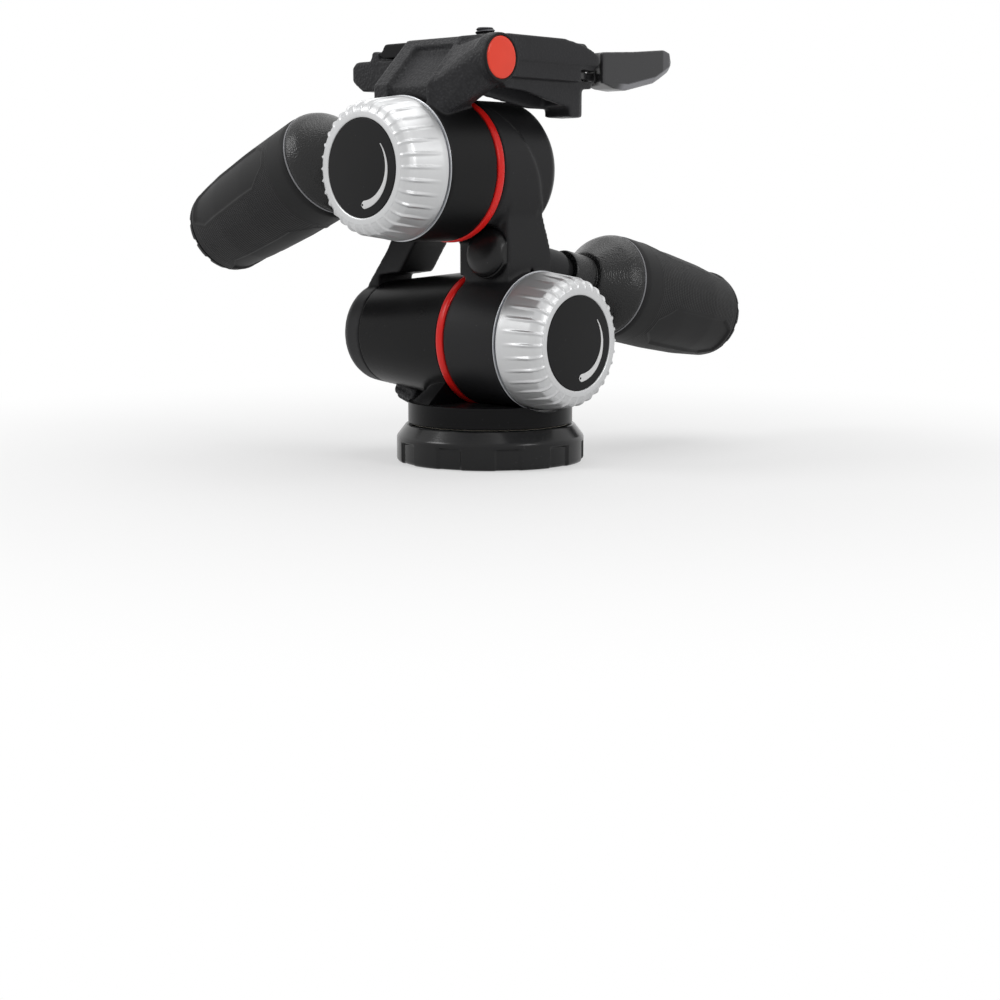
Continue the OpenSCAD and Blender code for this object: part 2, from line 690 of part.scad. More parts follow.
module release_lever() {
    z0 = slot_z0 + gap;
    z1 = slot_z1 - gap;
    tip = piv_y + release_len;
    color("#77797d") difference() {
        union() {
            translate([piv_x, piv_y, z0]) cylinder(h = z1 - z0, r = hub_rr);
            block(piv_x - 3, piv_x + 3.2, piv_y, piv_y + 14, z0, z1);
            difference() {
                intersection() {
                    side_extrude(piv_x - 1, cowl_x, [[piv_y + 8, z0 - 0.6], [tip - 30, slab_z0 + 0.4],
                        [tip - 24, slab_z0], [tip - 10.4, slab_z0 + 2.9], [tip - 1.6, slab_z0 + 7.2],
                        [tip, slab_z0 + 9.4], [tip - 2.8, slab_z0 + 12.8], [tip - 6, slab_z0 + 13.6],
                        [tip - 21, slab_z0 + 12.2], [piv_y + 8, slab_z0 + 11.2]]);
                    linear_extrude(height = 400) polygon([[piv_x - 1, piv_y + 8], [cowl_x, piv_y + 4],
                        [cowl_x, tip - 3], [cowl_x - 1.4, tip], [piv_x + 1, tip], [piv_x - 1, tip - 3]]);
                }
                translate([piv_x, piv_y, slab_z0 - 20]) cylinder(h = 60, r = cowl_r + gap);
            }
        }
        translate([piv_x, piv_y, z0 - 5]) cylinder(h = 20, r = piv_r + run);
    }
}

module lever_pivot() {
    color("#8d9095") {
        translate([piv_x, piv_y, skirt_low + 0.2]) cylinder(h = slab_z1 - skirt_low - 1, r = piv_r);
        translate([piv_x, piv_y, skirt_low + 0.1]) cylinder(h = 0.9, r = piv_head_r);
    }
}

module lever_spring() {
    color("#b0b3b7") translate([piv_x, piv_y, slot_z0]) tube(gap - 0.1, 5.4, piv_r + 0.6);
}

// Quick release plate

module trigger_pin() {
    color("#c79a3b") translate([pin_x, pin_y, slab_z1 - 3]) cylinder(h = 3.2, r = 2);
}

module pin_spring() {
    color("#b0b3b7") translate([pin_x, pin_y, slab_z1 - 5.9]) tube(2, 1.7, 1.1);
}

module quick_plate() {
    color("#2c2d30") difference() {
        front_extrude(plate_y0, plate_y1, [[plate_x0 + 2, plate_z], [plate_x1 - 2, plate_z],
            [plate_x1, plate_z + 1], [plate_x1 - 2.6, pl_z], [plate_x0 + 2.6, pl_z], [plate_x0, plate_z + 1]]);
        translate([cam_x, cam_y, plate_z - 1]) cylinder(h = 3.4, r = 8);
        translate([cam_x, cam_y, plate_z - 1]) cylinder(h = 20, r = camera_r + run);
        for (s = [-1, 1])
            translate([cam_x + s * 15, cam_y, pl_z - 0.8]) block(-6, 6, -17, 17, 0, 3);
    }
}

module plate_pads() {
    color("#101011") for (s = [-1, 1])
        translate([cam_x + s * 15, cam_y, pl_z - 0.8]) block(-6, 6, -17, 17, 0, 1.2);
}

module camera_screw() {
    color("#b8bcc0") difference() {
        union() {
            translate([cam_x, cam_y, plate_z + 0.2]) cylinder(h = 1.8, r = 7.6);
            translate([cam_x, cam_y, plate_z + 1]) cylinder(h = pad_z - plate_z - 1, r = camera_r - 0.5);
            translate([cam_x, cam_y, pad_z]) cylinder(h = screw_out, r = camera_r);
        }
        translate([cam_x, cam_y, plate_z]) block(-8, 8, -0.8, 0.8, -1, 1);
    }
}

base_ring();
thread_insert();
pan_washer();
retaining_ring();
pan_body();
pan_brake_pad();
pan_lock_knob();
yoke();
tilt_axle();
tail_plug();
lower_red_ring();
tilt_clamp_nut();
tilt_spring_washer();
upper_end_cap();
tilt_knob();
tilt_knob_disc();
tilt_knob_mark();
tilt_lever();
tilt_lever_spacer();
tilt_clamp_screw();
tilt_rod();
tilt_grip();
tilt_grip_cap();
platform();
roll_axle();
roll_axle_nut();
upper_red_ring();
roll_spring_washer();
badge();
vial_back();
vial_side();
vial_bezel_back();
vial_bezel_side();
roll_knob();
roll_knob_disc();
roll_knob_mark();
roll_lever();
roll_lever_spacer();
roll_clamp_screw();
roll_rod();
roll_grip();
roll_grip_cap();
release_lever();
lever_pivot();
lever_spring();
trigger_pin();
pin_spring();
quick_plate();
plate_pads();
camera_screw();
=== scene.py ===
"""Dresses a three-way pan tilt head: finishes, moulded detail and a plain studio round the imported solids."""
import logging
import math
from dataclasses import dataclass
from enum import Enum

import bmesh
import bpy
import numpy as np
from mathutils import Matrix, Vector


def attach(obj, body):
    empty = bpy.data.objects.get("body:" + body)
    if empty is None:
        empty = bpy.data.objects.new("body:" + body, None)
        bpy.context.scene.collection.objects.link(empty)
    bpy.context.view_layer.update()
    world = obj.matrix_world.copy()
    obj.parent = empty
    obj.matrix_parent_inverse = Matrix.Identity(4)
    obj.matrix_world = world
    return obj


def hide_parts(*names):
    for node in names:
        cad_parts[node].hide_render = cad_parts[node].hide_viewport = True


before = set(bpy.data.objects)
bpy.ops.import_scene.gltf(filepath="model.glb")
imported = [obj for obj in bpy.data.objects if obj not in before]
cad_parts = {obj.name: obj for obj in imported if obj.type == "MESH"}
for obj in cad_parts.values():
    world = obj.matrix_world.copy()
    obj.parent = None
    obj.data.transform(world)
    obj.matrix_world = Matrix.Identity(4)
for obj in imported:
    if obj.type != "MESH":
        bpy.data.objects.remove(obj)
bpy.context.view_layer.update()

MM = 0.001
TURN = 2.0 * math.pi
LOG = logging.getLogger("head")
Colour = tuple[float, float, float]
Point = tuple[float, float, float]
TILT_Z = 39.0
ROLL_Z = 91.5
RIGHT: Point = (1.0, 0.0, 0.0)
LEFT: Point = (-1.0, 0.0, 0.0)
FRONT: Point = (0.0, -1.0, 0.0)
BACK: Point = (0.0, 1.0, 0.0)
UP: Point = (0.0, 0.0, 1.0)
WHITE: Colour = (1.0, 1.0, 1.0)
SPECK: Colour = (0.09, 0.09, 0.095)


# Node graphs


class Value:
    """A number socket of a graph. Operators on it add Math nodes."""

    def __init__(self, graph: "Graph", socket: bpy.types.NodeSocket) -> None:
        """Wraps one output socket."""
        self.graph = graph
        self.socket = socket

    def _math(self, operation: str, *terms: object) -> "Value":
        """The result of a new Math node on values or numbers."""
        return self.graph.node("ShaderNodeMath", {"operation": operation}, dict(enumerate(terms)))

    def __add__(self, other: object) -> "Value":
        """Sum."""
        return self._math("ADD", self, other)

    def __sub__(self, other: object) -> "Value":
        """Difference."""
        return self._math("SUBTRACT", self, other)

    def __rsub__(self, other: object) -> "Value":
        """Difference from a number."""
        return self._math("SUBTRACT", other, self)

    def __mul__(self, other: object) -> "Value":
        """Product."""
        return self._math("MULTIPLY", self, other)

    __radd__ = __add__

    def sine(self) -> "Value":
        """Sine."""
        return self._math("SINE", self)

    def larger(self, other: object) -> "Value":
        """The larger of the two."""
        return self._math("MAXIMUM", self, other)

    def step(self, low: float, high: float) -> "Value":
        """A smooth rise from 0 at low to 1 at high."""
        return self.graph.node("ShaderNodeMapRange", {"interpolation_type": "SMOOTHSTEP"},
                               {"Value": self, "From Min": low, "From Max": high})


class Graph:
    """The node graph of a material or world, with one method that makes any node."""

    def __init__(self, owner: bpy.types.Material | bpy.types.World, shader: str = "ShaderNodeBsdfPrincipled",
                 output: str = "ShaderNodeOutputMaterial") -> None:
        """Starts the graph with one shader.

        Args:
            owner: the material or world.
            shader: the shader's type.
            output: the output node's type.
        """
        owner.use_nodes = True
        self.owner = owner
        self.tree = owner.node_tree
        self.tree.nodes.clear()
        self.shader = self.tree.nodes.new(shader)
        self.output = self.tree.nodes.new(output)
        self.show(Value(self, self.shader.outputs[0]))

    def show(self, shader: Value) -> None:
        """Links a shader to the output."""
        self.tree.links.new(shader.socket, self.output.inputs["Surface"])

    def seen(self) -> Value:
        """1 for what the camera sees, straight, in gloss or through glass, and 0 for light."""
        camera, gloss, clear = (self.node("ShaderNodeLightPath", {}, {}, f"Is {ray} Ray")
                                for ray in ("Camera", "Glossy", "Transmission"))
        return camera.larger(gloss).larger(clear)

    def put(self, socket: bpy.types.NodeSocket, value: object) -> None:
        """Links or sets a socket.

        Args:
            socket: the input.
            value: a Value to link, or a number, colour or vector to set.
        """
        if isinstance(value, Value):
            self.tree.links.new(value.socket, socket)
        elif socket.type == "RGBA" and len(value) == 3:
            socket.default_value = (*value, 1.0)
        else:
            socket.default_value = value

    def node(self, kind: str, settings: dict[str, object], inputs: dict[int | str, object],
             output: int | str = 0) -> Value:
        """Makes a node.

        Args:
            kind: the node's type.
            settings: its properties, set first.
            inputs: its sockets by name or number.
            output: the socket that is used.

        Returns:
            That output.
        """
        made = self.tree.nodes.new(kind)
        for key, value in settings.items():
            setattr(made, key, value)
        for key, value in inputs.items():
            self.put(made.inputs[key], value)
        return Value(self, made.outputs[output])

    def shade(self, **inputs: object) -> None:
        """Sets the shader's sockets, with _ in place of a space in their names."""
        for key, value in inputs.items():
            self.put(self.shader.inputs[key.replace("_", " ")], value)

    def place(self) -> Value:
        """Object coordinates, in metres."""
        return self.node("ShaderNodeTexCoord", {}, {}, "Object")

    def noise(self, scale: float, detail: float) -> Value:
        """Noise from 0 to 1, with scale cycles in a metre and detail finer layers."""
        return self.node("ShaderNodeTexNoise", {}, {"Vector": self.place(), "Scale": scale, "Detail": detail}, "Fac")

    def cells(self, pitch: float) -> Value:
        """Distance from the centres of soft cells of pitch millimetres, as a share of the pitch."""
        return self.node("ShaderNodeTexVoronoi", {"feature": "SMOOTH_F1"},
                         {"Vector": self.place(), "Scale": 1.0 / (pitch * MM), "Smoothness": 0.6}, "Distance")

    def mix(self, share: object, low: object, high: object) -> Value:
        """A colour between two: low where share is 0 and high where it is 1."""
        return self.node("ShaderNodeMix", {"data_type": "RGBA"}, {0: share, 6: low, 7: high}, 2)

    def attribute(self, name: str) -> Value:
        """A number kept on the mesh's points."""
        return self.node("ShaderNodeAttribute", {"attribute_name": name}, {}, "Fac")

    def bump(self, height: Value, depth: float, edge: float = 0.0) -> Value:
        """A normal tilted by a height field, on edges that are rounded off.

        Args:
            height: the field, from 0 to 1.
            depth: its depth in millimetres.
            edge: the radius of the rounded edges in millimetres.

        Returns:
            The normal.
        """
        inputs: dict[int | str, object] = {"Height": height, "Distance": depth * MM, "Strength": 1.0}
        if edge:
            inputs["Normal"] = self.node("ShaderNodeBevel", {"samples": 4}, {"Radius": edge * MM})
        return self.node("ShaderNodeBump", {}, inputs)


# Finishes


@dataclass(frozen=True)
class Finish:
    """A finish: colour, gloss and edge rounding. Subclasses add the surface."""

    name: str
    colour: Colour
    roughness: float = 0.5
    specular: float = 0.25
    edge: float = 0.35

    def material(self) -> bpy.types.Material:
        """The Blender material, made on first use."""
        name = f"finish_{self.name}"
        found = bpy.data.materials.get(name)
        if found:
            return found
        graph = Graph(bpy.data.materials.new(name))
        graph.shade(Base_Color=self.colour, Roughness=self.roughness, Specular_IOR_Level=self.specular)
        self.dress(graph)
        return graph.owner

    def dress(self, graph: Graph) -> None:
        """Adds the surface to the graph."""

    def shades(self, graph: Graph, share: Value, low: float, high: float) -> Value:
        """The colour over the surface, times low where share is 0 and times high where it is 1."""
        return graph.mix(share, tuple(low * c for c in self.colour), tuple(high * c for c in self.colour))


@dataclass(frozen=True)
class SatinCoat(Finish):
    """Satin moulding or coat: a very fine skin, slow changes of gloss and a few pale specks.

    Where the lip highlight factor is given, the colour is that many times paler wherever the mesh's lip mask is 1: a
    painted highlight for the pale floor's reflection on a chamfered lip.
    """

    grain: float = 3200.0
    depth: float = 0.012
    lip: float = 0.0

    def dress(self, graph: Graph) -> None:
        """Fine skin in the bump, slow noise in the gloss, sparse specks and a painted highlight on the lip in the
        colour.

        Args:
            graph: the material's graph.
        """
        slow = graph.noise(70.0, 3.0)
        fine = graph.noise(self.grain, 1.0)
        specks = graph.noise(1500.0, 0.0).step(0.83, 0.88)
        colour = self.shades(graph, slow, 0.85, 1.15)
        # Painted highlight: the lip mask makes the colour paler there, standing in for the pale floor's reflection on
        # the lip.
        if self.lip:
            colour = graph.mix(graph.attribute("lip"), colour, tuple(self.lip * c for c in self.colour))
        graph.shade(Base_Color=graph.mix(specks * 0.35, colour, SPECK),
                    Roughness=slow * 0.14 + fine * 0.06 + (self.roughness - 0.1),
                    Normal=graph.bump(fine, self.depth, self.edge))


@dataclass(frozen=True)
class PebbledSkin(Finish):
    """Moulded skin of small rounded pebbles, smoother on their crowns and painted paler there as a highlight, plain
    where the mesh says so.
    """

    pitch: float = 0.7
    depth: float = 0.05

    def dress(self, graph: Graph) -> None:
        """Cells broken up by noise: crowns are glossier and painted paler as a highlight. They fade as plain rises, and
        at 1 it is dark.

        Args:
            graph: the material's graph.
        """
        pebbled = 1.0 - graph.attribute("plain")
        tone = pebbled.step(0.0, 0.2)
        crown = 1.0 - graph.cells(self.pitch).step(0.1, 0.75)
        coarse = graph.noise(1.0 / (2.4 * self.pitch * MM), 2.0)
        slow = graph.noise(60.0, 2.0)
        # Painted highlight: the pebble crowns are paler in the colour, standing in for light caught on their tops.
        graph.shade(Base_Color=self.shades(graph, (crown * pebbled * 0.2 + slow * 0.25 + 0.4) * tone, 0.15, 1.6),
                    Roughness=self.roughness + 0.06 + pebbled * 0.06 - crown * pebbled * 0.18 + slow * 0.08,
                    Normal=graph.bump((crown * 0.7 + coarse * 0.5) * pebbled, self.depth, self.edge))


@dataclass(frozen=True)
class KnurledRubber(Finish):
    """Matt rubber with a fine diamond knurl where the mesh's knurl value is 1."""

    rings: float = 58.0
    starts: float = 104.0
    depth: float = 0.16

    def dress(self, graph: Graph) -> None:
        """Two crossing sine waves on the mesh's turn and run values, over a fine matt noise.

        Args:
            graph: the material's graph.
        """
        turn = graph.attribute("turn") * (TURN * self.starts / 2.0)
        run = graph.attribute("run") * (TURN * self.rings / 2.0)
        knurl = graph.attribute("knurl")
        diamonds = (turn + run).sine() * (turn - run).sine() * 0.5 + 0.5
        matt = graph.noise(2600.0, 2.0)
        slow = graph.noise(55.0, 3.0)
        height = diamonds * knurl + matt * 0.16
        # Painted highlight: the tops of the diamonds are paler in the colour, standing in for light caught on the
        # knurl.
        peak_highlight = diamonds.step(0.55, 1.0) * knurl
        graph.shade(Base_Color=self.shades(graph, peak_highlight * 0.75 + slow * 0.35, 0.75, 1.5),
                    Roughness=slow * 0.16 + matt * 0.1 + (self.roughness - 0.13),
                    Normal=graph.bump(height, self.depth, self.edge))


@dataclass(frozen=True)
class TurnedMetal(Finish):
    """Turned or blasted metal: fine tool marks, a little uneven in gloss."""

    metallic: float = 1.0
    marks: float = 0.01

    def dress(self, graph: Graph) -> None:
        """A fine and a slow noise in gloss and bump.

        Args:
            graph: the material's graph.
        """
        fine = graph.noise(4200.0, 2.0)
        slow = graph.noise(90.0, 3.0)
        graph.shade(Metallic=self.metallic, Base_Color=self.shades(graph, slow, 0.94, 1.04),
                    Roughness=fine * 0.1 + slow * 0.12 + (self.roughness - 0.11),
                    Normal=graph.bump(fine, self.marks, self.edge))


@dataclass(frozen=True)
class GlossCoat(Finish):
    """Glossy coloured plastic or enamel under a thin clear coat."""

    coat: float = 0.4

    def dress(self, graph: Graph) -> None:
        """Slow flow marks in the colour and a soft ripple in the normal.

        Args:
            graph: the material's graph.
        """
        slow = graph.noise(120.0, 2.0)
        ripple = graph.noise(420.0, 1.0)
        graph.shade(Base_Color=self.shades(graph, slow, 0.92, 1.06), Coat_Weight=self.coat, Coat_Roughness=0.18,
                    Roughness=ripple * 0.08 + (self.roughness - 0.04),
                    Normal=graph.bump(ripple, 0.01, self.edge))


@dataclass(frozen=True)
class VialGlass(Finish):
    """Clear tube full of tinted spirit."""

    def dress(self, graph: Graph) -> None:
        """Half clear, with a slow change of tint."""
        graph.shade(Base_Color=self.shades(graph, graph.noise(200.0, 1.0), 0.9, 1.1), Transmission_Weight=0.6,
                    Coat_Weight=0.6, IOR=1.4)


class Finishes(Enum):
    """Every finish on the head: name, colour, roughness, specular level, edge, then the class's own fields."""

    SATIN = SatinCoat("satin_black", (0.0056, 0.0056, 0.006), 0.3, 0.1, 0.35)
    YOKE = SatinCoat("yoke_black", (0.0115, 0.0115, 0.0125), 0.48, 0.2, 0.5, 2200.0, 0.02)
    PEBBLE = PebbledSkin("pebbled_black", (0.026, 0.026, 0.028), 0.36, 0.17, 0.6, 0.8, 0.16)
    CONE = PebbledSkin("pebbled_cone", (0.004, 0.004, 0.0044), 0.2, 0.4, 0.3, 0.56, 0.08)
    BASE = SatinCoat("base_black", (0.005, 0.005, 0.0055), 0.2, 0.3, 0.35, 1900.0, 0.006)
    SILVER = TurnedMetal("silver_knob", (0.605, 0.61, 0.615), 0.4, 0.5, 0.25, 0.75, 0.008)
    STEEL = TurnedMetal("turned_steel", (0.52, 0.53, 0.55), 0.32, 0.5, 0.2)
    BRASS = TurnedMetal("turned_brass", (0.72, 0.5, 0.19), 0.3, 0.5, 0.2)
    RED = GlossCoat("red_ring", (0.78, 0.014, 0.011), 0.34, 0.2, 0.2, 0.12)
    BADGE = GlossCoat("red_badge", (0.94, 0.066, 0.033), 0.3, 0.25, 0.2, 0.12)
    DISC = SatinCoat("disc_black", (0.0125, 0.0125, 0.013), 0.46, 0.13, 0.2, 4200.0, 0.006)
    MARK = GlossCoat("white_mark", (0.82, 0.82, 0.82), 0.5, 0.3, 0.1, 0.0)
    GRIP = KnurledRubber("grip_rubber", (0.0185, 0.0185, 0.019), 0.56, 0.18, 0.3)
    CAP = SatinCoat("cap_black", (0.0065, 0.0065, 0.007), 0.46, 0.12, 0.3)
    SEAM = TurnedMetal("seam_grey", (0.2, 0.2, 0.21), 0.4, 0.4, 0.1, 0.3)
    # The lever's last number paints its lip and end facet eight times paler: a painted highlight for the pale floor's
    # reflection.
    LEVER = SatinCoat("lever_grey", (0.03, 0.03, 0.032), 0.34, 0.38, 0.4, 1800.0, 0.012, 8.0)
    NUT = SatinCoat("nut_black", (0.006, 0.006, 0.0065), 0.34, 0.3, 0.4, 2400.0, 0.012)
    SLIDE = SatinCoat("slide_plastic", (0.6, 0.57, 0.48), 0.5, 0.4, 0.2)
    VIAL = VialGlass("vial_glass", (0.62, 0.78, 0.16), 0.12, 0.5, 0.1)
    BUBBLE = GlossCoat("vial_bubble", (0.86, 0.92, 0.6), 0.2, 0.4, 0.1, 0.0)
    DARK = TurnedMetal("blackened_steel", (0.06, 0.06, 0.065), 0.4, 0.5, 0.2)


# Surfaces


@dataclass(frozen=True)
class Axis:
    """A local frame in millimetres: a point, the direction of an axis, and a direction that reads as up."""

    origin: Point
    along: Point
    up: Point = UP

    def matrix(self) -> np.ndarray:
        """Rows of the frame: side, up and along, where side is to the right of someone who faces the axis."""
        along = np.array(self.along) / np.linalg.norm(self.along)
        up = np.array(self.up) - np.dot(self.up, along) * along
        up /= np.linalg.norm(up)
        return np.array([np.cross(up, along), up, along])

    def place(self, side: np.ndarray, up: np.ndarray, along: np.ndarray) -> np.ndarray:
        """Points in metres, with a last side of 3, of local coordinates in millimetres."""
        local = np.stack(np.broadcast_arrays(side, up, along), -1)
        return (local @ self.matrix() + np.array(self.origin)) * MM


def smooth(low: float, high: float, value: np.ndarray) -> np.ndarray:
    """A smooth rise from 0 to 1, 3t^2 - 2t^3 of the share t of the way from low to high."""
    share = np.clip((value - low) / (high - low), 0.0, 1.0)
    return share * share * (3.0 - 2.0 * share)


def teeth(count: int, columns: int) -> np.ndarray:
    """How far each column is from the middle of its tooth, |2 f - 1| of the fraction f of the way through it."""
    return np.abs(np.arange(columns) * count / columns % 1.0 - 0.5)[None, :] * 2.0


def thread(run: np.ndarray, pitch: float, columns: int) -> np.ndarray:
    """A triangle wave on a helix, 1 - |2 f - 1| of the fraction f of run / pitch - turn."""
    phase = (run / pitch - np.arange(columns)[None, :] / columns) % 1.0
    return 1.0 - np.abs(2.0 * phase - 1.0)


def fillet(points: list[tuple[float, float]], cut: float, steps: int = 6) -> np.ndarray:
    """A polyline whose corners are rounded by quadratic Bezier arcs.

    Args:
        points: corners as (radius, run).
        cut: how far each arc starts from its corner, at most 0.45 of the shorter side.
        steps: points in each arc.

    Returns:
        The rounded line, two columns.
    """
    line = np.array(points, float)
    corner, before, after = line[1:-1], line[:-2], line[2:]
    reach_b = np.linalg.norm(before - corner, axis=1, keepdims=True)
    reach_a = np.linalg.norm(after - corner, axis=1, keepdims=True)
    size = np.minimum(cut, 0.45 * np.minimum(reach_a, reach_b))
    start = corner + (before - corner) / reach_b * size
    end = corner + (after - corner) / reach_a * size
    t = np.linspace(0.0, 1.0, steps)[None, :, None]
    arcs = (1 - t) ** 2 * start[:, None] + 2 * t * (1 - t) * corner[:, None] + t ** 2 * end[:, None]
    return np.vstack([line[:1], arcs.reshape(-1, 2), line[-1:]])


def resample(line: np.ndarray, count: int) -> np.ndarray:
    """Points at even steps of arc length along a polyline.

    Args:
        line: the polyline.
        count: how many points.

    Returns:
        The new points.
    """
    run = np.concatenate([[0.0], np.cumsum(np.linalg.norm(np.diff(line, axis=0), axis=1))])
    at = np.linspace(0.0, run[-1], count)
    return np.stack([np.interp(at, run, column) for column in line.T], -1)


def grid_faces(rows: int, columns: int, loop: bool) -> np.ndarray:
    """Quads of a grid that closes round its columns, and round its rows too where loop is true.

    Args:
        rows: rows of points.
        columns: points in a row.
        loop: whether the last row joins the first.

    Returns:
        Four indices a quad.
    """
    row = np.arange(rows if loop else rows - 1)[:, None]
    column = np.arange(columns)[None, :]
    ahead, beside = (row + 1) % rows, (column + 1) % columns
    quads = np.stack(np.broadcast_arrays(row * columns + column, row * columns + beside,
                                         ahead * columns + beside, ahead * columns + column), -1)
    return quads.reshape(-1, 4)


class Piece:
    """A mesh at the origin that rides on a body."""

    def __init__(self, name: str, points: np.ndarray, faces: list[np.ndarray], sharp: float = 40.0) -> None:
        """Makes the mesh and turns its faces outwards.

        Args:
            name: the piece's name.
            points: its points in metres.
            faces: arrays of indices, one array for each count of corners.
            sharp: edges above this many degrees stay sharp.
        """
        mesh = bpy.data.meshes.new(name)
        mesh.from_pydata(points.reshape(-1, 3).tolist(), [], [f for group in faces for f in group.tolist()])
        work = bmesh.new()
        work.from_mesh(mesh)
        bmesh.ops.recalc_face_normals(work, faces=work.faces)
        work.to_mesh(mesh)
        work.free()
        mesh.polygons.foreach_set("use_smooth", np.ones(len(mesh.polygons), bool))
        mesh.set_sharp_from_angle(angle=math.radians(sharp))
        self.object = bpy.data.objects.new(name, mesh)
        bpy.context.scene.collection.objects.link(self.object)

    def points(self) -> np.ndarray:
        """The mesh's points in metres, one a row."""
        found = np.empty(len(self.object.data.vertices) * 3)
        self.object.data.vertices.foreach_get("co", found)
        return found.reshape(-1, 3)

    def reshape(self, points: np.ndarray) -> "Piece":
        """Puts the mesh's points elsewhere.

        Args:
            points: the new points in metres, one a row.

        Returns:
            The piece.
        """
        self.object.data.vertices.foreach_set("co", points.ravel())
        self.object.data.update()
        return self

    def keep(self, name: str, values: np.ndarray) -> "Piece":
        """Stores a number for each point.

        Args:
            name: the attribute's name.
            values: one number a point.

        Returns:
            The piece.
        """
        made = self.object.data.attributes.new(name, "FLOAT", "POINT")
        made.data.foreach_set("value", values.astype(np.float32).ravel())
        return self

    def dress(self, finish: Finishes, body: str, slot: str, *nodes: str) -> "Piece":
        """Gives the piece its finish and body, and hides the nodes it stands for.

        Args:
            finish: the finish.
            body: the body that carries it.
            slot: the record's material slot; not used.
            nodes: the nodes that it replaces.

        Returns:
            The piece.
        """
        self.object.data.materials.append(finish.value.material())
        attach(self.object, body)
        if nodes:
            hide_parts(*nodes)
        LOG.info("%s on %s, %d faces", self.object.name, body, len(self.object.data.polygons))
        return self


def lathe(name: str, axis: Axis, radius: np.ndarray, run: np.ndarray, loop: bool = False,
          sharp: float = 40.0) -> Piece:
    """A turned form: point = radius * (cos turn, sin turn) across the axis and run along it.

    Args:
        name: the piece's name.
        axis: its frame.
        radius: rows by columns.
        run: distance along the axis, rows by columns or one column that holds all the way round.
        loop: whether the profile closes on itself. Otherwise its ends are closed by fans.
        sharp: edges above this many degrees stay sharp.

    Returns:
        The piece.
    """
    rows, columns = np.broadcast_shapes(radius.shape, run.shape)
    turn = np.arange(columns) * TURN / columns
    points = axis.place(radius * np.cos(turn), radius * np.sin(turn), run + 0.0 * turn).reshape(-1, 3)
    faces = [grid_faces(rows, columns, loop)]
    if not loop:
        ring = np.arange(columns)
        last = (rows - 1) * columns
        ends = np.stack([points[:columns].mean(0), points[last:].mean(0)])
        centre = len(points)
        points = np.vstack([points, ends])
        beside = (ring + 1) % columns
        faces.append(np.stack([np.full(columns, centre), beside, ring], -1))
        faces.append(np.stack([np.full(columns, centre + 1), last + ring, last + beside], -1))
    return Piece(name, points, faces, sharp)


def turned(name: str, axis: Axis, profile: np.ndarray, columns: int = 128, loop: bool = False) -> Piece:
    """A plain turned form from a profile of (radius, run), which closes on itself where loop is true."""
    return lathe(name, axis, profile[:, :1] * np.ones((1, columns)), profile[:, 1:], loop)


def slab(name: str, x: np.ndarray, y: np.ndarray, top: np.ndarray, bottom: float) -> Piece:
    """A closed block under a height field: top(x, y) above, a flat face below and walls between.

    Args:
        name: the piece's name.
        x: columns in millimetres.
        y: rows in millimetres.
        top: heights, rows by columns.
        bottom: height of the flat face.

    Returns:
        The piece.
    """
    rows, columns = top.shape
    across, down = np.meshgrid(x, y)
    upper = np.stack([across, down, top], -1).reshape(-1, 3)
    lower = np.stack([across, down, np.full_like(top, bottom)], -1).reshape(-1, 3)
    index = np.arange(rows * columns).reshape(rows, columns)
    quads = np.stack([index[:-1, :-1], index[:-1, 1:], index[1:, 1:], index[1:, :-1]], -1).reshape(-1, 4)
    rim = np.concatenate([index[0, :-1], index[:-1, -1], index[-1, :0:-1], index[:0:-1, 0]])
    ahead, under = np.roll(rim, -1), rows * columns
    walls = np.stack([rim, rim + under, ahead + under, ahead], -1)
    return Piece(name, np.vstack([upper, lower]) * MM, [quads, quads[:, ::-1] + under, walls])


def moulded(name: str, node: str, voxel: float, passes: int) -> Piece:
    """A node's shape with its edges and corners rounded as in a mould: a voxel skin of a copy, then smoothed.

    Args:
        name: the piece's name.
        node: the node that is copied.
        voxel: size of a voxel in millimetres.
        passes: smoothing passes.

    Returns:
        The piece.
    """
    work = bmesh.new()
    work.from_mesh(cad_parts[node].data)
    bmesh.ops.remove_doubles(work, verts=work.verts, dist=0.002 * MM)
    copy = bpy.data.meshes.new(f"{name}_copy")
    work.to_mesh(copy)
    work.free()
    holder = bpy.data.objects.new(f"{name}_copy", copy)
    bpy.context.scene.collection.objects.link(holder)
    skin = holder.modifiers.new("skin", "REMESH")
    skin.mode, skin.voxel_size = "VOXEL", voxel * MM
    soften = holder.modifiers.new("soften", "SMOOTH")
    soften.factor, soften.iterations = 0.5, passes
    made = holder.evaluated_get(bpy.context.evaluated_depsgraph_get()).to_mesh()
    points = np.empty(len(made.vertices) * 3)
    made.vertices.foreach_get("co", points)
    corners = np.empty(len(made.loops), np.int64)
    made.loops.foreach_get("vertex_index", corners)
    totals = np.empty(len(made.polygons), np.int64)
    made.polygons.foreach_get("loop_total", totals)
    starts = np.cumsum(totals) - totals
    faces = [corners[starts[totals == size][:, None] + np.arange(size)] for size in np.unique(totals)]
    bpy.data.objects.remove(holder)
    return Piece(name, points.reshape(-1, 3), faces, 75.0)


# Sub-assemblies


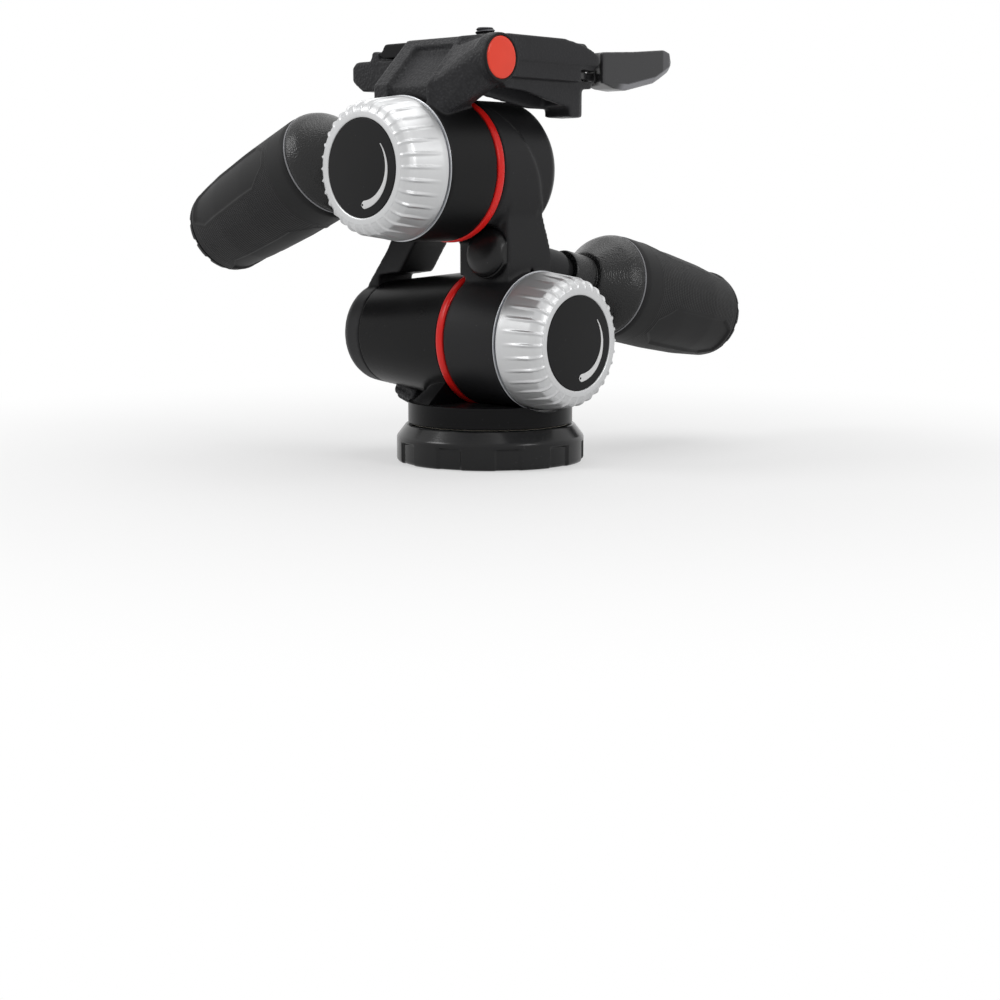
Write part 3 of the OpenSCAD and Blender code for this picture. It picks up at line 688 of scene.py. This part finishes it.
@dataclass
class BaseRing:
    """The base ring: a band of raised pads with a cone above it and a spigot in the middle."""

    band_r: float = 30.0
    band_h: float = 8.0
    cone_r: float = 27.0
    top: float = 12.0
    recess_r: float = 24.0
    pads: int = 10
    relief: float = 0.7
    pad_share: float = 0.55

    def build(self) -> None:
        """Radius = profile - relief * gap, where gap is 1 between pads and fades out under the cone."""
        outer = resample(fillet([(self.recess_r, 0.6), (self.recess_r, 0.0), (self.band_r - 0.5, 0.0),
                                 (self.band_r, 0.7), (self.band_r, self.band_h), (self.cone_r, self.top - 0.1),
                                 (25.2, self.top), (25.2, 11.0)], 0.5), 120)
        inner = np.array([[20.8, 11.0], [20.8, 12.0], [19.0, 12.0], [19.0, 13.2], [17.95, 13.2], [17.95, 14.2],
                          [19.0, 14.2], [18.7, 15.2], [5.16, 15.2], [5.16, 13.0], [8.0, 13.0], [8.0, 0.6]])
        profile = np.vstack([outer, inner])
        radius, run = profile[:, :1], profile[:, 1:]
        gap = smooth(self.pad_share, self.pad_share + 0.07, teeth(self.pads, 480))
        reach = 1 - smooth(self.band_h - 1.9, self.band_h - 1.1, run)
        reach = reach * smooth(self.band_r - 2, self.band_r - 1, radius)
        lathe("base_band", Axis((0, 0, 0), UP, BACK), radius - self.relief * gap * reach, run, True).dress(
            Finishes.BASE, "base", "base_black", "base_ring")


@dataclass
class FrictionKnob:
    """A fluted friction knob with its black disc and white arc."""

    name: str
    axis: Axis
    body: str
    rear_r: float = 21.5
    front_r: float = 20.0
    length: float = 15.8
    seat: float = 14.4
    disc_r: float = 14.6
    bore_r: float = 14.2
    flutes: int = 32
    sink: float = 0.056
    flute_from: float = 2.6
    ridge: float = 0.6
    arc_r: float = 10.8
    arc_from: float = 40.0
    arc_to: float = -90.0

    def build(self) -> None:
        """Shell, disc, arc and the bright ring behind the shell."""
        self.shell()
        self.disc()
        self.arc()
        ring = fillet([(20.4, -0.36), (21.65, -0.36), (21.72, -0.25), (21.65, -0.14), (20.4, -0.14)], 0.05, 3)
        turned(f"{self.name}_back_ring", self.axis, ring, 160, True).dress(Finishes.STEEL, self.body, "steel")
        end = math.radians(self.arc_to + 3.0)
        at = self.axis.place(np.array(self.arc_r * math.cos(end)), np.array(self.arc_r * math.sin(end)), np.array(0.0))
        dot = Axis(tuple(at / MM), self.axis.along)
        top = self.length + 0.15
        line = np.array([[0.05, self.length], [0.36, self.length], [0.36, top], [0.05, top + 0.01]])
        turned(f"{self.name}_dot", dot, line, 24).dress(Finishes.DISC, self.body, "disc_black")

    def shell(self) -> None:
        """Radius = profile less a flute depth that grows in proportion to run and opens through the front corner.

        Across a flute the depth is whole up to the share ridge of its half width, then falls on an S curve to nothing
        at the narrow ridge between two flutes; it fades away where the profile turns into the flat front ring.
        """
        outer = resample(fillet([(self.rear_r - 0.7, 0.0), (self.rear_r, 0.7), (self.rear_r - 0.1, 2.0),
                                 (self.front_r + 0.05, 12.6), (self.front_r - 0.8, self.seat), (17.9, 15.45),
                                 (16.4, 15.74), (15.0, self.length), (self.disc_r, 15.65), (self.disc_r, self.seat)],
                                0.6, 8), 76)
        back = [(self.disc_r, self.seat), (self.bore_r, 14.2), (self.bore_r, 2.2), (15.4, 2.0), (15.4, 0.0)]
        profile = np.vstack([outer, back])
        radius, run = profile[:, :1], profile[:, 1:]
        depth = self.sink * np.clip(run - self.flute_from, 0.0, None) * smooth(16.5, 17.6, radius)
        flute = 1.0 - smooth(self.ridge, 1.0, teeth(self.flutes, self.flutes * 24))
        lathe(self.name, self.axis, radius - depth * flute, run, True, 50.0).dress(
            Finishes.SILVER, self.body, "silver", self.name)

    def disc(self) -> None:
        """A flat black disc with a rounded rim, just under flush."""
        rim = self.disc_r - 0.12
        face = self.length - 0.02
        profile = fillet([(0.3, self.seat), (rim, self.seat), (rim, face - 0.06), (0.3, face)], 0.3)
        turned(f"{self.name}_disc", self.axis, profile).dress(
            Finishes.DISC, self.body, "disc_black", f"{self.name}_disc")

    def arc(self) -> None:
        """A raised stroke on a circle, width growing along it, with a round end."""
        rows, columns = 64, 12
        share = np.linspace(0.0, 1.0, rows)[:, None]
        turn = np.radians(self.arc_from + (self.arc_to - self.arc_from) * share)
        half = (0.14 + 1.14 * share) * np.sqrt(np.clip((1.0 - share) / 0.045, 0.0, 1.0))
        around = np.arange(columns) * TURN / columns
        radius = self.arc_r + half * np.cos(around)
        run = self.length + 0.14 * np.sin(around)
        points = self.axis.place(radius * np.cos(turn), radius * np.sin(turn), run)
        Piece(f"{self.name}_mark", points, [grid_faces(rows, columns, False)]).dress(
            Finishes.MARK, self.body, "white_mark", f"{self.name}_mark")


@dataclass
class RedRing:
    """A proud red ring between two barrels."""

    name: str
    axis: Axis
    body: str
    radius: float
    width: float
    inner: float

    def build(self) -> None:
        """A flat band with rounded shoulders."""
        line = fillet([(self.inner, 0.05), (self.radius - 0.25, 0.05), (self.radius, 0.8),
                       (self.radius, self.width - 0.8), (self.radius - 0.25, self.width - 0.05),
                       (self.inner, self.width - 0.05)], 0.5)
        turned(self.name, self.axis, line, 160, True).dress(Finishes.RED, self.body, "red", self.name)


@dataclass
class LockLever:
    """A lock lever: hub, pebbled cone, seam ring, rubber grip with smooth panels, and notched end cap."""

    name: str
    axis: Axis
    body: str
    handle: str
    hub_s: float
    panel_turn: float
    cone_s: float = 33.0
    hub_r: float = 7.5
    seam_s: float = 46.2
    grip_s: float = 46.6
    grip_end: float = 101.0
    grip_r: float = 17.2
    end_r: float = 14.6
    rod_r: float = 6.15
    panels: int = 3
    panel_run: tuple[float, float] = (58.5, 99.0)
    panel_half: float = 7.8
    panel_depth: float = 0.55
    cap_len: float = 3.6
    notches: int = 12
    notch_depth: float = 0.75

    def build(self) -> None:
        """Cone, seam ring, grip and cap."""
        self.cone()
        low, high = self.seam_s - 0.35, self.seam_s + 0.3
        seam = fillet([(15.5, low), (16.98, low), (16.98, high), (15.5, high)], 0.2)
        turned(f"{self.name}_seam", self.axis, seam, 160, True).dress(Finishes.SEAM, self.body, "steel")
        self.grip()
        self.cap()

    def cone(self) -> None:
        """Hub, a step, and an ogive up to the seam."""
        line = [(4.05, self.hub_s), (self.hub_r - 0.3, self.hub_s), (self.hub_r, self.hub_s + 0.5),
                (self.hub_r, self.cone_s - 0.9), (self.hub_r - 0.35, self.cone_s - 0.5),
                (self.hub_r - 0.35, self.cone_s), (self.hub_r + 1.2, self.cone_s + 0.3), (11.9, 37.3),
                (15.5, 41.6), (16.75, 44.6), (16.88, 45.85), (6.3, 45.85), (6.3, 40.0), (4.05, 40.0)]
        turned(f"{self.name}_lever", self.axis, fillet(line, 1.6, 8), 160, True).dress(
            Finishes.CONE, self.body, "pebbled_black", f"{self.name}_lever")

    def grip(self) -> None:
        """Radius = profile - depth * panel, where panel is 1 inside long six-sided fields round the grip."""
        outer = resample(fillet([(self.rod_r, self.grip_s), (16.4, self.grip_s), (self.grip_r, self.grip_s + 1.6),
                                 (16.9, 71.1), (16.1, 86.9), (self.end_r, self.grip_end - 0.2),
                                 (13.6, self.grip_end)], 1.0, 6), 250)
        profile = np.vstack([outer, [(self.rod_r, self.grip_end)]])
        radius, run = profile[:, :1], profile[:, 1:]
        turn = np.linspace(0.0, TURN, 252, endpoint=False)
        pitch = TURN / self.panels
        offset = (turn - math.radians(self.panel_turn) + pitch / 2) % pitch - pitch / 2
        across = np.abs(offset[None, :]) * radius
        start, end = self.panel_run
        narrow = 0.75 * np.clip(start + 6.5 - run, 0.0, 9.0) + 0.6 * np.clip(run - end + 5.0, 0.0, 9.0)
        inside = np.minimum(self.panel_half - narrow - across, np.minimum(run - start, end - run))
        panel = smooth(-0.45, 0.45, inside)
        ridge = np.exp(-((inside + 0.75) / 0.4) ** 2) * (run > start - 6.5)
        wall = (radius > self.end_r - 2.6).astype(float)
        shaped = radius - wall * (self.panel_depth * panel - 0.14 * ridge)
        band = smooth(start - 4.0, start - 2.5, run) * (1 - smooth(end - 0.8, end + 0.2, run))
        knurl = (1 - smooth(-1.6, -0.9, inside)) * band * wall
        share = (run - self.grip_s) / (self.grip_end - self.grip_s)
        piece = lathe(f"{self.name}_grip", self.axis, shaped, run, True).keep("knurl", knurl)
        piece.keep("turn", np.abs(turn / TURN * 2.0 - 1.0) + 0.0 * run).keep("run", share + 0.0 * turn)
        piece.dress(Finishes.GRIP, self.handle, "grip_rubber", f"{self.name}_grip")

    def cap(self) -> None:
        """Radius = profile - depth * notch, with notches cut into the rim all round."""
        start = self.grip_end + 0.12
        end = self.grip_end + self.cap_len
        profile = resample(fillet([(0.4, start), (self.end_r - 0.6, start), (self.end_r - 0.25, start + 0.3),
                                   (self.end_r - 0.5, start + 1.2), (self.end_r - 1.2, end - 0.9),
                                   (11.6, end - 0.05), (9.6, end - 0.12), (9.2, end - 0.5), (0.4, end - 0.5)], 0.6), 90)
        radius, run = profile[:, :1], profile[:, 1:]
        notch = 1 - smooth(0.2, 0.3, teeth(self.notches, self.notches * 24))
        reach = smooth(start + 1.0, start + 1.6, run) * smooth(9.6, 11.0, radius)
        lathe(f"{self.name}_grip_cap", self.axis, radius - self.notch_depth * notch * reach, run).dress(
            Finishes.CAP, self.handle, "cap_black", f"{self.name}_grip_cap")


class Yoke:
    """The yoke casting."""

    def build(self) -> None:
        """The casting with its edges rounded."""
        moulded("yoke_casting", "yoke", voxel=0.58, passes=4).dress(Finishes.YOKE, "tilt", "satin_black", "yoke")


@dataclass
class ClampCap:
    """The domed cap on the front tilt clamp screw."""

    axis: Axis
    radius: float = 8.2
    face: float = -15.8
    back: float = -8.5
    flank: float = 17.5

    def build(self) -> None:
        """A flat-topped dome with a soft shoulder and a thin rim at its foot, kept inside the yoke's flank."""
        line = fillet([(0.3, self.face), (4.6, self.face + 0.25), (6.9, self.face + 1.4), (7.9, self.face + 3.2),
                       (7.9, self.face + 3.8), (self.radius, self.face + 4.0), (self.radius, self.back),
                       (0.3, self.back)], 1.3, 8)
        cap = turned("tilt_clamp_cap", self.axis, line)
        cap.reshape(np.minimum(cap.points(), [self.flank * MM, np.inf, np.inf]))
        cap.dress(Finishes.NUT, "tilt", "satin_black", "tilt_clamp_nut")


@dataclass
class PanKnob:
    """The small lobed knob that locks the pan."""

    axis: Axis
    radius: float = 4.6
    stem: float = 1.95
    start: float = 12.0
    end: float = 22.3
    lobes: int = 8
    lobe_depth: float = 0.7

    def build(self) -> None:
        """Radius = profile - depth * wave^2, where wave is a raised cosine round the knob."""
        line = resample(fillet([(0.2, 3.4), (self.stem, 3.4), (self.stem, self.start), (self.radius - 0.5, self.start),
                                (self.radius, self.start + 0.8), (self.radius, self.end - 1.2),
                                (self.radius - 1.0, self.end), (0.2, self.end)], 0.7), 90)
        radius, run = line[:, :1], line[:, 1:]
        columns = self.lobes * 20
        wave = 0.5 + 0.5 * np.cos(np.arange(columns) * self.lobes * TURN / columns)
        reach = smooth(self.start + 1.2, self.start + 2.0, run) * smooth(3.0, 4.2, radius)
        lathe("pan_lock_knob_body", self.axis, radius - self.lobe_depth * wave ** 2 * reach, run).dress(
            Finishes.PEBBLE, "pan_knob", "pebbled_black", "pan_lock_knob")


@dataclass
class EndCap:
    """A round press-in cap with a shallow dish and a groove near its rim."""

    name: str
    axis: Axis
    body: str
    radius: float
    height: float

    def build(self) -> None:
        """One turned profile."""
        rim, top = self.radius - 0.12, self.height
        line = fillet([(0.3, 0.0), (rim, 0.0), (rim, top - 0.3), (rim - 0.4, top - 0.02), (rim - 1.5, top - 0.02),
                       (rim - 1.7, top - 0.4), (rim - 2.1, top - 0.4), (rim - 2.3, top - 0.05), (3.0, top - 0.3),
                       (0.3, top - 0.3)], 0.25, 5)
        turned(f"{self.name}_cap", self.axis, line).dress(Finishes.CAP, self.body, "satin_black", self.name)


@dataclass
class Insert:
    """The steel thread insert in the base."""

    radius: float = 7.98
    foot: float = 0.04
    height: float = 12.96
    thread_r: float = 4.76
    thread_depth: float = 0.8
    pitch: float = 1.5875

    def build(self) -> None:
        """Inner radius = thread radius - depth * triangle of (run / pitch - turn), opened out at both mouths."""
        columns = 96
        run = np.linspace(self.height, self.foot, 150)[:, None]
        mouth = smooth(0.0, 1.2, np.minimum(run, self.height - run))
        bore = self.thread_r + 0.35 * (1 - mouth) - self.thread_depth * thread(run, self.pitch, columns) * mouth
        outer = fillet([(5.3, self.foot), (self.radius, self.foot), (self.radius, self.height),
                        (5.3, self.height)], 0.3)
        radius = np.vstack([outer[:, :1] * np.ones((1, columns)), bore])
        lathe("thread_insert_threaded", Axis((0, 0, 0), UP, BACK), radius, np.vstack([outer[:, 1:], run]), True,
              30.0).dress(Finishes.STEEL, "base", "steel", "thread_insert")


@dataclass
class Vial:
    """A bubble vial: glass tube with round ends, two black rings and the bubble between them."""

    name: str
    axis: Axis
    radius: float = 1.56
    length: float = 16.0

    def build(self) -> None:
        """Three turned forms on the tube's axis, the bubble a little above it."""
        span = np.linspace(0.0, np.pi, 40)
        glass = np.stack([self.radius * np.maximum(np.sin(span), 0.02) ** 0.35,
                          self.length / 2 - (self.length / 2 - 0.05) * np.cos(span)], -1)
        turned(f"{self.name}_tube", self.axis, glass, 48).dress(Finishes.VIAL, "roll", "vial_glass", self.name)
        for label, at in (("near", -2.6), ("far", 2.6)):
            middle = self.length / 2 + at
            ring = np.array([[self.radius - 0.1, middle - 0.2], [self.radius + 0.04, middle - 0.2],
                             [self.radius + 0.04, middle + 0.2], [self.radius - 0.1, middle + 0.2]])
            turned(f"{self.name}_{label}_ring", self.axis, ring, 48, True).dress(Finishes.DISC, "roll", "disc_black")
        raised = Axis(tuple(np.array(self.axis.origin) + (0.0, 0.0, 0.5)), self.axis.along)
        bubble = np.stack([0.95 * np.maximum(np.sin(span), 0.03) ** 0.6, self.length / 2 - 2.0 * np.cos(span)], -1)
        turned(f"{self.name}_bubble", raised, bubble, 32).dress(Finishes.BUBBLE, "roll", "vial_glass")


@dataclass
class Platform:
    """The quick release platform: moulded body, plate body, release lever and badge."""

    badge: Axis
    badge_r: float = 6.4
    collar_r: float = 21.5
    paddle_x: float = 28.6
    foot_y: tuple[float, ...] = (33.5, 47.1, 55.9, 57.5)
    foot_z: tuple[float, ...] = (116.5, 119.4, 123.7, 125.9)
    facet_len: float = 7.0
    lip_w: float = 2.1

    def build(self) -> None:
        """Body, plate, lever and badge. The platform is plain on its collar, and nearly so behind the fairing."""
        body = moulded("platform_body", "platform", voxel=0.5, passes=9)
        x, y, z = body.points().T / MM
        collar = 1.0 - smooth(self.collar_r + 0.4, self.collar_r + 1.4, np.hypot(x, z - ROLL_Z))
        behind = 0.8 * smooth(-22.0, -14.0, y)
        body.keep("plain", np.maximum(collar, behind))
        body.dress(Finishes.PEBBLE, "roll", "pebbled_black", "platform")
        moulded("plate_body", "quick_plate", voxel=0.4, passes=4).dress(Finishes.CAP, "plate", "cap_black",
                                                                        "quick_plate")
        self.paddle()
        dome = fillet([(0.2, 0.1), (self.badge_r - 0.15, 0.1), (self.badge_r - 0.15, 1.1), (self.badge_r - 0.6, 1.45),
                       (0.2, 1.58)], 0.4)
        turned("badge_dome", self.badge, dome, 96).dress(Finishes.BADGE, "roll", "red", "badge")
        rim = fillet([(self.badge_r - 0.1, 0.3), (self.badge_r + 0.75, 0.3), (self.badge_r + 0.75, 1.1),
                      (self.badge_r + 0.45, 1.4), (self.badge_r - 0.1, 1.3)], 0.2)
        turned("badge_rim", self.badge, rim, 96, True).dress(Finishes.DISC, "roll", "disc_black")

    def paddle(self) -> None:
        """The release lever: x falls off by a chamfer along its foot and by a facet that grows towards its tip."""
        paddle = moulded("release_paddle", "release_lever", voxel=0.3, passes=16)
        points = paddle.points()
        x, y, z = points.T / MM
        foot = z - np.interp(y, self.foot_y, self.foot_z)
        outer = smooth(self.paddle_x - 2.4, self.paddle_x - 0.6, x)
        facet = np.clip(y - self.foot_y[-1] + self.facet_len, 0.0, None)
        chamfer = np.clip(self.lip_w - foot, 0.0, self.lip_w)
        points[:, 0] -= outer * (0.08 * facet + 0.5 * chamfer) * MM
        # Painted highlight: the end facet and the lip along the foot are marked for a paler colour, standing in for the
        # pale floor's reflection on them.
        end = 0.22 * smooth(0.0, 0.7, facet) * outer
        lip = (1.0 - smooth(self.lip_w - 0.3, self.lip_w + 0.1, foot)) * smooth(28.0, 32.0, y)
        paddle.reshape(points).keep("lip", np.maximum(lip, end)).dress(Finishes.LEVER, "release", "lever_grey",
                                                                       "release_lever")


@dataclass
class QuickPlate:
    """Pads and camera screw of the quick release plate."""

    middle: tuple[float, float] = (-3.0, 1.0)
    pad_top: float = 131.1
    pad_low: float = 130.0
    pad_at: float = 15.0
    pad_half: tuple[float, float] = (5.95, 16.95)
    rib: float = 1.55
    head_r: float = 7.5
    head_low: float = 126.55
    head_top: float = 128.25
    screw_r: float = 3.175
    screw_tip: float = 135.7
    pitch: float = 1.27

    def build(self) -> None:
        """Two ribbed pads and a threaded screw."""
        for name, sign in (("left", -1.0), ("right", 1.0)):
            self.pad(name, self.middle[0] + sign * self.pad_at)
        self.screw()

    def pad(self, name: str, centre: float) -> None:
        """Height = top - rib * raised cosine across the pad, rounded off towards its rim.

        Args:
            name: which pad.
            centre: its place across the plate.
        """
        x = np.linspace(-1.0, 1.0, 97) * self.pad_half[0]
        y = np.linspace(-1.0, 1.0, 181) * self.pad_half[1]
        across, down = np.meshgrid(x, y)
        inside = np.minimum(self.pad_half[0] - np.abs(across), self.pad_half[1] - np.abs(down))
        wave = 0.5 - 0.5 * np.cos((across + down) * TURN / self.rib)
        top = self.pad_top - 0.3 * wave * smooth(0.7, 1.1, inside) - 0.25 * (1 - smooth(0.0, 0.4, inside))
        piece = slab(f"plate_pad_{name}", x + centre, y + self.middle[1], top, self.pad_low)
        piece.dress(Finishes.DISC, "plate", "grip_rubber", *(("plate_pads",) if name == "left" else ()))

    def screw(self) -> None:
        """Radius = profile - depth * triangle of (run / pitch - turn), on the threaded stretch alone."""
        low, top, start = self.head_low, self.head_top, self.pad_top
        head = fillet([(0.2, low), (self.head_r, low), (self.head_r, top), (2.7, top), (2.7, start - 0.1)], 0.3)
        stretch = np.stack([np.full(120, self.screw_r), np.linspace(start, self.screw_tip - 0.02, 120)], -1)
        line = np.vstack([head, stretch, [[0.2, self.screw_tip]]])
        plain, run = line[:, :1], line[:, 1:]
        cut = 0.66 * thread(run, self.pitch, 96) * smooth(start, start + 0.5, run) * (plain > 3.0)
        radius = np.minimum(plain - cut, 2.35 + np.clip(self.screw_tip - run, 0.0, None))
        radius = np.where(run > start - 0.05, radius, plain)
        radius[-1] = 0.2
        lathe("camera_screw_threaded", Axis((*self.middle, 0.0), UP, BACK), radius, run, False, 30.0).dress(
            Finishes.DARK, "screw", "steel", "camera_screw")


class Solids:
    """The nodes that keep their own shape, by finish."""

    BY_FINISH: dict[Finishes, tuple[str, ...]] = {
        Finishes.SATIN: ("pan_body",),
        Finishes.STEEL: ("retaining_ring", "tilt_axle", "roll_axle", "roll_axle_nut", "tilt_spring_washer",
                         "roll_spring_washer", "tilt_clamp_screw", "roll_clamp_screw", "tilt_rod", "roll_rod",
                         "pin_spring"),
        Finishes.DARK: ("lever_pivot", "lever_spring"),
        Finishes.SLIDE: ("pan_washer",),
        Finishes.BRASS: ("pan_brake_pad", "trigger_pin"),
        Finishes.DISC: ("vial_bezel_back", "vial_bezel_side", "tilt_lever_spacer", "roll_lever_spacer"),
    }

    def build(self) -> None:
        """Gives each node its finish."""
        for finish, nodes in self.BY_FINISH.items():
            for node in nodes:
                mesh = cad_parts[node].data
                mesh.materials.clear()
                mesh.materials.append(finish.value.material())
            LOG.info("%s on %s", finish.name.lower(), ", ".join(nodes))


@dataclass
class Studio:
    """Pale floor, soft lamps, white surround and the camera of the photograph."""

    eye: Point = (0.4174, -0.4410, 0.0791)
    azimuth: float = 43.13
    pitch: float = 8.66
    lens: float = 68.4
    surround: float = 0.32
    aim: Point = (0.0, 0.0, 0.07)
    floor_half: float = 4.0
    floor_z: float = -0.0002
    lamps: tuple[tuple[str, Point, float, float], ...] = (
        ("key", (-0.55, -0.75, 0.75), 0.4, 3.8),
        ("side", (0.95, 0.05, 0.5), 0.3, 2.1),
        ("top", (0.0, 0.2, 1.0), 0.9, 3.8),
    )

    def build(self) -> None:
        """Floor, world, lamps and camera."""
        self.floor()
        self.world()
        for lamp in self.lamps:
            self.lamp(*lamp)
        self.camera()

    def floor(self) -> None:
        """A wide sheet under the base, with a faint change of tone. Away from the head it is white to the camera."""
        side = self.floor_half
        corners = [(-side, -side), (side, -side), (side, side), (-side, side)]
        points = np.array([(x, y, self.floor_z) for x, y in corners])
        sheet = Piece("floor", points, [np.arange(4)[None, :]])
        graph = Graph(bpy.data.materials.new("pale_floor"))
        graph.shade(Base_Color=graph.mix(graph.noise(3.0, 2.0), (0.86, 0.86, 0.86), (0.9, 0.9, 0.9)), Roughness=0.7,
                    Specular_IOR_Level=0.1)
        away = graph.node("ShaderNodeVectorMath", {"operation": "LENGTH"}, {0: graph.place()}, "Value")
        white = graph.node("ShaderNodeEmission", {}, {"Color": WHITE, "Strength": 1.0})
        share = graph.seen() * (away.step(0.06, 0.3) * 0.5 + 0.5)
        graph.show(graph.node("ShaderNodeMixShader", {}, {0: share, 1: Value(graph, graph.shader.outputs[0]),
                                                          2: white}))
        sheet.object.data.materials.append(graph.owner)

    def world(self) -> None:
        """White to the camera, to gloss and through glass, and a plain level as light."""
        world = bpy.data.worlds.new("studio")
        graph = Graph(world, "ShaderNodeBackground", "ShaderNodeOutputWorld")
        graph.shade(Color=WHITE, Strength=graph.seen() * (1.0 - self.surround) + self.surround)
        bpy.context.scene.world = world

    def lamp(self, name: str, place: Point, size: float, power: float) -> None:
        """A square soft lamp that faces the head.

        Args:
            name: the lamp's name.
            place: where it stands, in metres.
            size: its side in metres.
            power: its power in watts.
        """
        light = bpy.data.lights.new(name, "AREA")
        light.size = size
        light.energy = power
        holder = bpy.data.objects.new(name, light)
        holder.location = place
        holder.rotation_euler = (Vector(self.aim) - Vector(place)).to_track_quat("-Z", "Y").to_euler()
        bpy.context.scene.collection.objects.link(holder)

    def camera(self) -> None:
        """The photograph's viewing angle and distance."""
        camera = bpy.data.cameras.new("camera")
        camera.lens = self.lens
        camera.sensor_width = 36.0
        camera.clip_start = 0.01
        holder = bpy.data.objects.new("camera", camera)
        holder.location = self.eye
        holder.rotation_euler = (math.radians(90.0 - self.pitch), 0.0, math.radians(self.azimuth))
        bpy.context.scene.collection.objects.link(holder)
        bpy.context.scene.camera = holder


def main() -> None:
    """Builds the studio and every sub-assembly in order."""
    logging.basicConfig(level=logging.INFO, format="%(name)s: %(message)s")
    bpy.context.scene.view_settings.view_transform = "Standard"
    tilt_slope, roll_slope, pan_slope = (math.radians(slope) for slope in (12.0, 22.5, 18.0))
    tilt_lever = Axis((10.0, 0.0, 64.0), (0.0, math.cos(tilt_slope), -math.sin(tilt_slope)))
    roll_lever = Axis((0.0, -30.6, 111.5), (-math.cos(roll_slope), 0.0, -math.sin(roll_slope)))
    for part in (
        Studio(),
        Solids(),
        BaseRing(),
        FrictionKnob("tilt_knob", Axis((21.7, 0.0, TILT_Z), RIGHT), "tilt_friction_knob"),
        FrictionKnob("roll_knob", Axis((0.0, -39.4, ROLL_Z), FRONT), "roll_friction_knob"),
        RedRing("lower_red_ring", Axis((-3.3, 0.0, TILT_Z), RIGHT), "tilt", 21.7, 2.9, 19.75),
        RedRing("upper_red_ring", Axis((0.0, -16.6, ROLL_Z), FRONT), "roll", 22.2, 2.9, 20.45),
        LockLever("tilt", tilt_lever, "tilt_lock_lever", "tilt_handle", 22.8, 221.0),
        LockLever("roll", roll_lever, "roll_lock_lever", "roll_handle", 31.4, 25.0),
        Insert(),
        Yoke(),
        EndCap("tail_plug", Axis((-50.7, 0.0, TILT_Z), LEFT), "tilt", 11.0, 2.2),
        EndCap("upper_end_cap", Axis((0.0, 7.6, ROLL_Z), BACK), "tilt", 11.0, 1.5),
        Vial("vial_back", Axis((-16.0, 18.3, 121.6), RIGHT)),
        Vial("vial_side", Axis((-40.0, -8.0, 121.6), BACK)),
        ClampCap(tilt_lever),
        PanKnob(Axis((-19.0, 0.0, 14.8), (-math.cos(pan_slope), 0.0, math.sin(pan_slope)))),
        Platform(Axis((27.6, -25.5, 123.5), RIGHT)),
        QuickPlate(),
    ):
        part.build()


if __name__ == "__main__":
    main()
